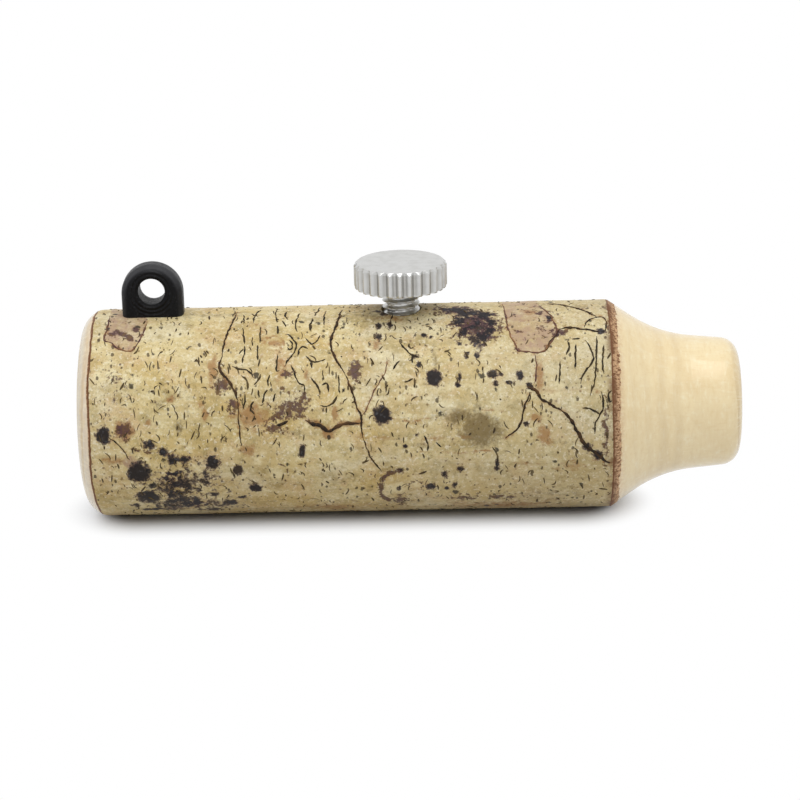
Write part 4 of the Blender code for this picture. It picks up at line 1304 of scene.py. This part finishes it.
def bark_finish(colours, sizes):
    """Lichen crust under a thin satin varnish, with stains where the bark's attributes say."""
    skin = Finish("lichen_bark")
    drift = skin.noise(170, 4.0, 0.6)
    warmth = skin.noise(330, 3.0, 0.6, skin.moved(0.31, 0.17, 0.05))
    bands = skin.noise(230, 4.0, 0.64, skin.moved(0.53, 0.11, 0.29, place=skin.stretched(0.6, 1.0, 1.0)))
    mottle = skin.noise(520, 4.0, 0.62)
    streaks = skin.noise(520, 3.0, 0.6, skin.stretched(0.14, 1.0, 1.0))
    grain = skin.noise(2100, 4.0, 0.68)
    pepper = skin.noise(2700, 3.0, 0.7, skin.moved(0.07, 0.23, 0.41))
    dust = skin.noise(5200, 2.0, 0.6)
    ragged = skin.noise(1250, 5.0, 0.72)
    x, y, z = skin.split(skin.place)
    crust = skin.layered(
        colours.lichen_tan,
        (colours.lichen, drift, 0.36, 0.64),
        (colours.lichen_warm, warmth, 0.5, 0.66, 0.0, 0.55),
        (colours.lichen_ochre, bands, 0.5, 0.64, 0.0, 0.6),
        (colours.lichen_chalk, bands, 0.36, 0.48, 0.6, 0.0),
        (colours.lichen_pale, mottle, 0.5, 0.7, 0.0, 0.8),
        (colours.lichen_olive, mottle, 0.3, 0.47, 0.65, 0.0),
        (colours.lichen_grey, x, sizes.grey_start, sizes.grey_end, 0.0, 0.5),
        (colours.lichen_olive, streaks, 0.3, 0.45, 0.4, 0.0),
        (colours.lichen_pale, streaks, 0.56, 0.7, 0.0, 0.4),
        (colours.lichen_olive, grain, 0.3, 0.46, 0.6, 0.0),
        (colours.lichen_pale, grain, 0.56, 0.72, 0.0, 0.5),
        (colours.moss, dust, 0.3, 0.48, 0.3, 0.0),
        (colours.lichen_cream, pepper, 0.53, 0.68, 0.0, 0.6),
        (colours.lichen_tan, pepper, 0.32, 0.46, 0.5, 0.0),
    )

    def spread(name, ragging):
        """How much of a stain lies at a point, with a ragged edge."""
        return skin.attribute(name) + (ragged - 0.5) * ragging

    def dots(scale, at, size, share, clumping):
        """Ragged dots in some of the cells, in clumps."""
        cells = skin.cells(scale, at)
        chosen = skin.split(cells["Color"])
        reach = cells["Distance"] - chosen[1] * size + (grain - 0.5) * 0.6
        picked = share + (clumping - 0.5) * 2.0 - chosen[0]
        return skin.fade(reach, 0.0, 0.1, 1.0, 0.0) * skin.fade(picked, 0.0, 0.04)

    pink = skin.layered(colours.blush, (colours.lichen_tan, grain, 0.46, 0.72, 0.0, 0.7))
    scorched = skin.layered(colours.rust, (colours.umber, grain, 0.5, 0.68, 0.0, 0.7))
    smoke = skin.layered(colours.plum, (colours.umber, grain, 0.46, 0.66))
    black = skin.layered(
        colours.soot,
        (colours.speck, mottle, 0.5, 0.68, 0.0, 0.6),
        (colours.bloom, grain, 0.55, 0.72, 0.0, 0.5),
    )
    crust = skin.layered(
        crust,
        (colours.moss, spread("moss", 1.4), 0.3, 0.8, 0.0, 0.8),
        (colours.lichen_pale, spread("pale", 1.2), 0.35, 0.75, 0.0, 0.75),
    )
    patchy = skin.fade(skin.noise(620, 4.0, 0.65), 0.4, 0.6, 0.45, 1.0)
    patchy = patchy * skin.fade(spread("blush", 0.4), 0.46, 0.56, 0.0, 0.85)
    crust = skin.mix(patchy, crust, pink)
    smoked = spread("plum", 1.6) + (grain - 0.5) * 2.0
    halo = skin.attribute("halo") * skin.fade(ragged, 0.4, 0.65)
    crust = skin.layered(
        crust,
        (scorched, spread("rust", 1.6), 0.3, 0.76, 0.0, 0.8),
        (smoke, smoked, 0.38, 0.68, 0.0, 0.92),
        (colours.rust, halo, 0.2, 0.9, 0.0, 0.7),
    )
    fine = dots(2300, skin.place, 0.3, 0.25, warmth)
    crust = skin.mix(fine * 0.6, crust, colours.umber)
    specks = dots(1150, skin.stretched(1.6, 1.0, 1.0), 0.27, 0.38, mottle)
    crust = skin.mix(specks * 0.8, crust, colours.speck)
    soot = spread("soot", 1.5) + (grain - 0.5)
    crust = skin.layered(
        crust,
        (colours.plum, soot, 0.38, 0.56, 0.0, 0.75),
        (black, soot, 0.5, 0.72, 0.0, 0.92),
    )
    dirt = dots(680, skin.place, 0.24, 0.2, drift)
    crust = skin.mix(dirt * 0.85, crust, colours.soot)
    # Painted shade: the crust is darkened from a little above the axis down to the bottom of the stem
    below = skin.fade(z, AXIS_HEIGHT - 5 * MM, AXIS_HEIGHT + 1.5 * MM, 1.0, 0.0)
    crust = skin.mix(below, crust, colours.underside_shade, "MULTIPLY")
    edge = spread("cut", 0.5)
    fibres = skin.noise(4600, 3.0, 0.7, skin.stretched(0.2, 1.0, 1.0))
    rind = skin.fade(x, sizes.shoulder + 0.15 * MM, sizes.shoulder + 0.55 * MM, 0.9, 0.0)
    rind = rind * (x > sizes.shoulder - 1 * MM) * skin.fade(mottle, 0.4, 0.56, 0.2, 1.0)
    bare = skin.layered(colours.cut_dark, (colours.cut_bark, fibres, 0.36, 0.6))
    bare = skin.mix(rind, bare, colours.cut_dark)
    stain = skin.fade(x, sizes.shoulder - 0.9 * MM, sizes.shoulder)
    stain = stain * skin.fade(mottle, 0.44, 0.6, 0.1, 0.8)
    crust = skin.mix(stain, crust, colours.cut_dark)
    crust = skin.layered(crust, (colours.cut_dark, edge, 0.36, 0.5), (bare, edge, 0.64, 0.9))
    relief = skin.bump(grain, 0.06 * MM, 0.6)
    relief = skin.bump(mottle, 0.12 * MM, 0.4, relief)
    relief = skin.bump(skin.fade(soot, 0.4, 0.6) - specks, 0.05 * MM, 0.5, relief)
    skin.set(
        colour=crust,
        roughness=skin.fade(grain, 0.3, 0.7, 0.36, 0.56) + edge * 0.12,
        normal=relief,
        coat=0.03,
        coat_roughness=0.3,
        specular=0.09,
    )
    return skin.material


def script_finish(name, shade, light):
    """Crusty ridges of a dark lichen."""
    ink = Finish(name)
    grain = ink.noise(2600, 3.0, 0.6)
    cloud = ink.noise(500, 2.0)
    tone = ink.layered(shade, (light, cloud, 0.48, 0.72, 0.0, 0.65), (light, grain, 0.35, 0.65, 0.0, 0.35))
    ink.set(
        colour=tone,
        roughness=ink.fade(grain, 0.3, 0.7, 0.45, 0.65),
        normal=ink.bump(grain, 0.03 * MM, 0.6),
        specular=0.1,
    )
    return ink.material


def wood_finish(colours, sizes):
    """Pale turned wood: growth rings round the pith, pores along the grain, turning marks and varnish."""
    wood = Finish("turned_wood")
    x, y, z = wood.split(wood.place)
    side = y - PITH_SIDE
    up = z - (AXIS_HEIGHT + PITH_RISE)
    pith = wood.span(wood.joined(x * 0.02, side, up))
    turn = wood.math("ARCTAN2", side, up)
    wobble = wood.noise(160, 2.0, 0.5, wood.stretched(0.25, 1.0, 1.0))
    saw = wood.math("FRACT", pith * 1150.0 + wobble * 0.9)
    late = wood.fade(saw, 0.4, 0.9) * wood.fade(saw, 0.92, 1.0, 1.0, 0.0)
    pores = wood.noise(4200, 2.0, 0.6, wood.stretched(0.1, 1.0, 1.0))
    flecks = wood.noise(1500, 3.0, 0.6, wood.stretched(0.5, 1.0, 1.0))
    figure = wood.noise(240, 4.0, 0.55, wood.stretched(0.4, 1.0, 1.0))
    fibres = wood.noise(2600, 3.0, 0.7, wood.stretched(0.35, 1.0, 1.0))
    turning = wood.noise(2600, 3.0, 0.5, wood.stretched(1, 0, 0))
    dashes = wood.noise(3000, 3.0, 0.6, wood.joined(x, turn * (2.4 * MM), pith * 0.5))
    rays = wood.noise(1.0, 2.0, 0.6, wood.joined(turn * 34.0, pith * 260.0, 0.0))
    outlet_cut = wood.fade(x, WOOD_LOW.x + 0.4 * MM, WOOD_LOW.x + 1.8 * MM, 1.0, 0.0)
    mouth_cut = wood.fade(x, WOOD_HIGH.x - 1.2 * MM, WOOD_HIGH.x - 0.2 * MM)
    cut_across = wood.math("MAXIMUM", outlet_cut, mouth_cut)
    end_grain = wood.fade(x, WOOD_LOW.x + 1.2 * MM, WOOD_LOW.x + 2.4 * MM, 0.9, 0.0)
    near_bark = wood.fade(x, WOOD_LOW.x + 0.5 * MM, WOOD_LOW.x + 1.2 * MM) * end_grain
    fringe = wood.fade(x, sizes.bark_end - 0.4 * MM, sizes.bark_end + 0.8 * MM, 0.8, 0.0)
    fringe = fringe * (x > sizes.shoulder - 1 * MM) * wood.fade(fibres, 0.4, 0.58)
    end_tone = wood.layered(colours.wood_end, (colours.wood_pale, pores, 0.35, 0.7, 0.0, 0.5))
    tone = wood.layered(
        colours.wood,
        (colours.wood_late, figure, 0.3, 0.7, 0.0, 0.5),
        (colours.wood_late, pores, 0.52, 0.75, 0.0, 0.4),
        (colours.wood_pale, flecks, 0.54, 0.7, 0.0, 0.35),
        (colours.wood_late, turning, 0.52, 0.7, 0.0, 0.22),
    )
    tone = wood.mix(end_grain, tone, end_tone)
    tone = wood.mix(near_bark * 0.3, tone, colours.cut_bark)
    tone = wood.mix(late * (cut_across * 0.65 + 0.1), tone, colours.wood_ring)
    tone = wood.layered(
        tone,
        (colours.wood_late, dashes, 0.5, 0.7, 0.0, 0.4),
        (colours.wood_pale, dashes, 0.3, 0.46, 0.4, 0.0),
    )
    tone = wood.mix(fringe, tone, colours.cut_bark)
    tone = wood.mix(wood.fade(rays, 0.52, 0.7) * cut_across * 0.5, tone, colours.wood_pale)
    for growth in (sizes.first_growth, sizes.second_growth):
        off = abs(x - growth + (wobble - 0.5) * (2 * MM))
        tone = wood.layered(tone, (colours.wood_ring, off, 0.1 * MM, 0.75 * MM, 0.2, 0.0))
    marks = wood.bump(turning, 0.03 * MM, 0.6)
    marks = wood.bump(pores, 0.03 * MM, 0.35, marks)
    wood.set(
        colour=tone,
        roughness=wood.fade(flecks, 0.3, 0.7, 0.36, 0.52),
        normal=marks,
        coat=0.8,
        coat_roughness=0.14,
        coat_normal=marks,
        specular=0.05,
    )
    return wood.material


def plastic_finish(colours, sizes):
    """Black moulded plastic with a fine grain, scuffs and faint rings round the hole. Its rounded edges are
    lighter grey, strongest on the crown, which is partly wear from rubbing and partly painted sheen.
    """
    shell = Finish("black_plastic")
    grain = shell.noise(3800, 3.0, 0.6)
    cloud = shell.noise(500, 4.0, 0.6)
    x, y, z = shell.split(shell.place)
    out = shell.span(shell.joined(x - EYE_X, 0.0, z - EYE_HOLE_HEIGHT))
    rings = shell.math("SINE", out * (2 * math.pi / MOULD_RING_STEP))
    rings = rings * shell.fade(out, 2.0 * MM, 3.2 * MM, 1.0, 0.0)
    # Partly painted sheen: lighter grey on the rounded edges away from the faces and the hole, growing
    # towards the crown
    rubbing_and_sheen = shell.fade(EYE_HIGH.y - abs(y), 0.03 * MM, 0.22 * MM)
    rubbing_and_sheen = rubbing_and_sheen * shell.fade(out, sizes.eye_hole + 0.4 * MM, sizes.eye_hole + 0.6 * MM)
    rubbing_and_sheen = rubbing_and_sheen * shell.fade(z, EYE_HOLE_HEIGHT - 1 * MM, EYE_HIGH.z - 1 * MM, 0.45, 1.0)
    rubbing_and_sheen = rubbing_and_sheen * shell.fade(cloud, 0.3, 0.6, 0.6, 1.0)
    scuffs = shell.fade(shell.noise(3800, 2.0, 0.7), 0.62, 0.72, 0.0, 0.5)
    wear_and_sheen = shell.math("MAXIMUM", rubbing_and_sheen * 0.85, scuffs * cloud)
    wear_and_sheen = shell.math("MAXIMUM", wear_and_sheen, shell.fade(grain, 0.54, 0.72, 0.0, 0.35))
    relief = shell.bump(rings, 0.06 * MM, 0.8)
    shell.set(
        colour=shell.mix(wear_and_sheen, colours.plastic, colours.plastic_worn),
        roughness=shell.fade(grain, 0.3, 0.7, 0.34, 0.52),
        normal=shell.bump(grain, 0.07 * MM, 0.8, relief),
        specular=0.11,
    )
    return shell.material


def nickel_finish(colours, sizes):
    """Nickel plated steel with faint turning rings about the screw's axis, and painted shade between its
    flutes.
    """
    plate = Finish("nickel_plate")
    x, y, z = plate.split(plate.place)
    out = plate.span(plate.joined(x - SCREW_X, y, 0.0))
    rings = plate.noise(9000, 2.0, 0.5, plate.joined(out, 0.0, z * 0.3))
    smear = plate.noise(900, 3.0, 0.6)
    valley = sizes.head_radius - sizes.flute_depth
    bottom = SCREW_HIGH.z - sizes.head_height
    side = (z < SCREW_HIGH.z - sizes.head_chamfer) * (z > bottom + sizes.head_foot)
    # Painted shade: darker in the valleys between the flutes on the head's side
    low = plate.fade(out, valley + 0.02 * MM, sizes.head_radius - 0.1 * MM, 1.0, 0.0) * side
    tone = plate.layered(colours.nickel, (colours.nickel_dull, smear, 0.4, 0.7, 0.0, 0.12))
    plate.set(
        colour=plate.mix(low * 0.4, tone, colours.nickel_dull),
        metallic=1.0,
        roughness=plate.fade(smear, 0.3, 0.7, 0.28, 0.38),
        normal=plate.bump(rings, 0.012 * MM, 0.5),
    )
    return plate.material


def bronze_finish(colours):
    """Rolled spring bronze, brushed along the reed."""
    leaf = Finish("spring_bronze")
    brushed = leaf.noise(5200, 3.0, 0.6, leaf.stretched(0.05, 1.0, 1.0))
    tarnish = leaf.noise(420, 4.0, 0.6)
    leaf.set(
        colour=leaf.layered(colours.bronze, (darker(colours.bronze, 0.55), tarnish, 0.45, 0.75, 0.0, 0.6)),
        metallic=1.0,
        roughness=leaf.fade(brushed, 0.3, 0.7, 0.28, 0.44),
        normal=leaf.bump(brushed, 0.01 * MM, 0.5),
    )
    return leaf.material


def machined_finish(name, shade, low, high, scale, squeeze):
    """A plain inner part: tool marks across it, and a little cloudiness."""
    block = Finish(name)
    marks = block.noise(scale, 3.0, 0.6, block.stretched(*squeeze))
    cloud = block.noise(380, 4.0, 0.6)
    block.set(
        colour=block.layered(shade, (darker(shade, 0.7), cloud, 0.4, 0.7, 0.0, 0.7)),
        roughness=block.fade(marks, 0.3, 0.7, low, high),
        normal=block.bump(marks, 0.02 * MM, 0.5),
    )
    return block.material


def cork_finish(colours):
    """Pressed cork: pale cells with dark gaps."""
    cork = Finish("pressed_cork")
    tint = cork.split(cork.cells(1500)["Color"])[0]
    gaps = cork.cells(1500, feature="DISTANCE_TO_EDGE")["Distance"]
    gaps = cork.fade(gaps, 0.03, 0.12, 1.0, 0.0)
    dark = darker(colours.cork, 0.45)
    tone = cork.mix(tint * 0.5, colours.cork, dark)
    cork.set(
        colour=cork.mix(gaps * 0.7, tone, dark),
        roughness=cork.fade(tint, 0.0, 1.0, 0.7, 0.9),
        normal=cork.bump(gaps, -0.05 * MM, 0.8),
    )
    return cork.material


class MakeStage(bpy.types.Operator):
    """Set the camera, the floor and the soft light"""

    bl_idname = "deer_call.stage"
    bl_label = "Stage"

    def execute(self, context):
        scene = context.scene
        stage = scene.deer_call_stage
        scene.view_settings.view_transform = "Standard"
        self.set_camera(scene, stage)
        self.set_floor(scene, stage, scene.deer_call_colours)
        self.set_light(scene, stage)
        return {"FINISHED"}

    def set_camera(self, scene, stage):
        yaw, elevation, roll = stage.yaw, stage.elevation, stage.roll
        level = math.cos(elevation)
        ahead = Vector((math.sin(yaw) * level, math.cos(yaw) * level, -math.sin(elevation)))
        right = Vector((math.cos(yaw), -math.sin(yaw), 0))
        up = right.cross(ahead)
        up = math.cos(roll) * up - math.sin(roll) * right
        aim = Vector((stage.aim_x, 0, AXIS_HEIGHT))
        eye = aim - stage.distance * ahead
        back = (eye - aim - stage.raise_aim * up).normalized()
        side = up.cross(back).normalized()
        turn = Matrix((side, back.cross(side), back)).transposed().to_4x4()
        data = bpy.data.cameras.new("camera")
        data.lens = stage.lens
        data.sensor_width = stage.sensor
        data.clip_start = stage.near
        camera = bpy.data.objects.new("camera", data)
        camera.matrix_world = Matrix.Translation(eye) @ turn
        scene.collection.objects.link(camera)
        scene.camera = camera

    def set_floor(self, scene, stage, colours):
        """Pale paper that keeps the shadow under the call, and is plain white to the camera further out."""
        paper = Finish("floor_paper")
        fibre = paper.noise(900, 4.0, 0.6)
        paper.set(
            colour=paper.mix(fibre, darker(colours.floor, 0.985), colours.floor),
            roughness=paper.fade(fibre, 0.3, 0.7, 0.8, 0.95),
            specular=0.0,
        )
        x, y, z = paper.split(paper.place)
        middle = (BARK_LOW.x + BARK_HIGH.x) / 2
        contact = (BARK_HIGH.x - BARK_LOW.x) / 2 - stage.shadow_inset
        past_end = paper.math("MAXIMUM", abs(x - middle) - contact, 0.0)
        gap = paper.span(paper.joined(past_end, y, 0.0))
        share = paper.backdrop_share() * paper.fade(gap, stage.shadow_core, stage.shadow_reach)
        white = paper.wire("ShaderNodeEmission", {"Color": (1, 1, 1, 1), "Strength": 1.0})
        layers = {0: share, 1: Wire(paper, paper.shader.outputs[0]), 2: white}
        surface = paper.wire("ShaderNodeMixShader", layers)
        paper.plug(paper.tree.nodes["Material Output"].inputs["Surface"], surface)
        reach = stage.floor_reach
        height = CAD_BOX[0].z - stage.floor_drop
        corners = [(-reach, -reach), (reach, -reach), (reach, reach), (-reach, reach)]
        mesh = bpy.data.meshes.new("floor")
        mesh.from_pydata([(*corner, height) for corner in corners], [], [(0, 1, 2, 3)])
        mesh.materials.append(paper.material)
        floor = bpy.data.objects.new("floor", mesh)
        scene.collection.objects.link(floor)

    def set_light(self, scene, stage):
        """A white backdrop that gives a little light, a soft key, and a softbox for the varnish."""
        world = bpy.data.worlds.new("studio")
        world.use_nodes = True
        sky = NodeBench(world.node_tree)
        background = world.node_tree.nodes["Background"]
        background.inputs["Color"].default_value = (1, 1, 1, 1)
        strength = stage.fill + sky.backdrop_share() * (1.0 - stage.fill)
        sky.plug(background.inputs["Strength"], strength)
        scene.world = world
        key = self.hung(scene, "soft_key", "SUN", stage.key, stage.key_tilt)
        key.data.angle = stage.key_spread
        key.visible_glossy = False
        box = self.hung(scene, "softbox", "AREA", stage.box_power, stage.box_tilt)
        box.data.shape = "RECTANGLE"
        box.data.size = stage.box_width
        box.data.size_y = stage.box_depth
        box.visible_diffuse = False
        toward = stage.box_reach * math.sin(stage.box_tilt)
        rise = stage.box_reach * math.cos(stage.box_tilt)
        box.location = (stage.box_shift, -toward, AXIS_HEIGHT + rise)

    def hung(self, scene, name, kind, power, tilt):
        """A lamp that leans towards the camera."""
        data = bpy.data.lights.new(name, kind)
        data.energy = power
        lamp = bpy.data.objects.new(name, data)
        lamp.rotation_euler = (tilt, 0, 0)
        scene.collection.objects.link(lamp)
        return lamp


class MakeWood(bpy.types.Operator):
    """Turn the wooden body with its mouthpiece and bores"""

    bl_idname = "deer_call.wood"
    bl_label = "Turned wood"

    def execute(self, context):
        sizes = context.scene.deer_call_sizes
        mesh = bored(tidied(wood_mesh(sizes), WOOD_SHARP), "wood_blank", sizes.screw_hole)
        mesh = tidied(mesh, WOOD_SHARP)
        mesh.materials.clear()
        mesh.materials.append(wood_finish(context.scene.deer_call_colours, sizes))
        piece("turned_body", mesh, "call_body", "turned_wood", "wooden_body")
        return {"FINISHED"}


class MakeBark(bpy.types.Operator):
    """Grow the bark sleeve with its stains"""

    bl_idname = "deer_call.bark"
    bl_label = "Bark"

    def execute(self, context):
        sizes = context.scene.deer_call_sizes
        blank, edges = bark_mesh(sizes)
        mesh = tidied(bored(blank, "bark_blank", sizes.screw_hole), BARK_SHARP)
        paint_bark(mesh, sizes, edges)
        mesh.materials.clear()
        mesh.materials.append(bark_finish(context.scene.deer_call_colours, sizes))
        piece("bark", mesh, "call_body", "bark", "bark_sleeve")
        return {"FINISHED"}


class MakeLichen(bpy.types.Operator):
    """Lay the lichens' border lines, script strokes and dashes on the bark"""

    bl_idname = "deer_call.lichen"
    bl_label = "Lichen script"

    def execute(self, context):
        sizes = context.scene.deer_call_sizes
        colours = context.scene.deer_call_colours
        black = script_finish("black_script", colours.script, colours.moss)
        border = script_finish("border_script", colours.script, colours.umber)
        olive = script_finish("olive_script", colours.speck, colours.moss)
        brown = script_finish("brown_script", colours.plum, colours.rust)
        rule = lichen_line_rule()
        width = sizes.stroke_radius / MM
        strokes = [(width, stroke) for stroke in both_sides(SCRIPT_STROKES)]
        groups = {
            "lichen_borders": (self.widths(BORDER_LINES), border, 1.0),
            "lichen_rust_lines": (self.widths(RUST_LINES), brown, 2.0),
            "lichen_strokes": (strokes, black, 3.0),
        }
        for name, (lines, finish, seed) in groups.items():
            inputs = {
                "Bark": bpy.data.objects["bark"],
                "Axis Height": AXIS_HEIGHT,
                "Step": sizes.line_step,
                "Waver": sizes.line_waver,
                "Sink": 0.15,
                "Sides": 6,
                "Seed": seed,
                "Finish": finish,
            }
            piece(name, ruled(line_curve(name, lines), rule, inputs), "call_body", "bark")
        bare = bpy.data.objects.new("lichen_dashes", bpy.data.meshes.new("lichen_dashes"))
        inputs = {
            "Bark": bpy.data.objects["bark"],
            "Spread": sizes.dash_spread,
            "Longest": sizes.dash_length,
            "Half Width": sizes.dash_radius,
            "Twist": 1.5,
            "Seed": sizes.dash_seed,
            "Finish": olive,
        }
        piece("lichen_dashes", ruled(bare, lichen_dash_rule(), inputs), "call_body", "bark")
        return {"FINISHED"}

    def widths(self, lines):
        """The lines of both sides with their half widths."""
        places = both_sides([line for width, line in lines])
        return [(lines[i // 2][0], line) for i, line in enumerate(places)]


class MakeScrew(bpy.types.Operator):
    """Turn, flute and thread the tuning screw"""

    bl_idname = "deer_call.screw"
    bl_label = "Tuning screw"

    def execute(self, context):
        sizes = context.scene.deer_call_sizes
        blank, bottom, thread_top = screw_blank(sizes)
        inputs = {
            "Axis X": SCREW_X,
            "Flutes": sizes.flutes,
            "Flute Depth": sizes.flute_depth,
            "Head Radius": sizes.head_radius,
            "Head Bottom": bottom - 0.001 * MM,
            "Thread Radius": sizes.thread_radius,
            "Thread Depth": sizes.thread_depth,
            "Thread Pitch": sizes.thread_pitch,
            "Thread Top": thread_top,
            "Thread Tip": SCREW_LOW.z + TIP_CHAMFER,
            "Finish": nickel_finish(context.scene.deer_call_colours, sizes),
        }
        mesh = ruled(bpy.data.objects.new("screw_blank", blank), screw_rule(), inputs)
        mesh = tidied(mesh, SCREW_SHARP)
        piece("thumb_screw", mesh, "screw", "steel", "tuning_screw")
        return {"FINISHED"}


class MakeEye(bpy.types.Operator):
    """Mould the lanyard eye"""

    bl_idname = "deer_call.eye"
    bl_label = "Lanyard eye"

    def execute(self, context):
        sizes = context.scene.deer_call_sizes
        mesh = eye_mesh(sizes)
        mesh.materials.append(plastic_finish(context.scene.deer_call_colours, sizes))
        piece("moulded_eye", mesh, "call_body", "black_plastic", "lanyard_eye")
        return {"FINISHED"}


class MakeReedUnit(bpy.types.Operator):
    """Finish the reed, its tone bar, wedge, seal and pressure pad"""

    bl_idname = "deer_call.reed_unit"
    bl_label = "Reed unit"

    def execute(self, context):
        colours = context.scene.deer_call_colours
        carrier = machined_finish("carrier_plastic", colours.carrier, 0.4, 0.58, 2600, (1.0, 0.15, 0.15))
        seal = machined_finish("seal_rubber", colours.rubber, 0.5, 0.7, 1800, (1.0, 1.0, 1.0))
        pad = machined_finish("natural_nylon", colours.nylon, 0.38, 0.55, 2200, (0.2, 0.2, 1.0))
        finishes = {
            "reed": bronze_finish(colours),
            "reed_carrier": carrier,
            "reed_wedge": cork_finish(colours),
            "seal_ring": seal,
            "pressure_pad": pad,
        }
        for node, finish in finishes.items():
            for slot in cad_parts[node].material_slots:
                slot.material = finish
        return {"FINISHED"}


OPERATORS = (MakeStage, MakeWood, MakeBark, MakeLichen, MakeScrew, MakeEye, MakeReedUnit)


class DeerCallPanel(bpy.types.Panel):
    """Lists the pieces of the call"""

    bl_idname = "VIEW3D_PT_deer_call"
    bl_label = "Deer Call"
    bl_space_type = "VIEW_3D"
    bl_region_type = "UI"
    bl_category = "Deer Call"

    def draw(self, context):
        for operator in OPERATORS:
            self.layout.operator(operator.bl_idname)
        for group in ("deer_call_sizes", "deer_call_colours", "deer_call_stage"):
            box = self.layout.box()
            values = getattr(context.scene, group)
            for name in values.__annotations__:
                box.prop(values, name)


GROUPS = {
    "deer_call_sizes": DeerCallSizes,
    "deer_call_colours": DeerCallColours,
    "deer_call_stage": DeerCallStage,
}


def register():
    for cls in (*GROUPS.values(), *OPERATORS, DeerCallPanel):
        bpy.utils.register_class(cls)
    for name, cls in GROUPS.items():
        setattr(bpy.types.Scene, name, PointerProperty(type=cls))


def unregister():
    for name in GROUPS:
        delattr(bpy.types.Scene, name)
    for cls in (DeerCallPanel, *reversed(OPERATORS), *reversed(GROUPS.values())):
        bpy.utils.unregister_class(cls)


def main():
    register()
    bpy.ops.deer_call.stage()
    bpy.ops.deer_call.wood()
    bpy.ops.deer_call.bark()
    bpy.ops.deer_call.lichen()
    bpy.ops.deer_call.screw()
    bpy.ops.deer_call.eye()
    bpy.ops.deer_call.reed_unit()


if __name__ == "__main__":
    main()
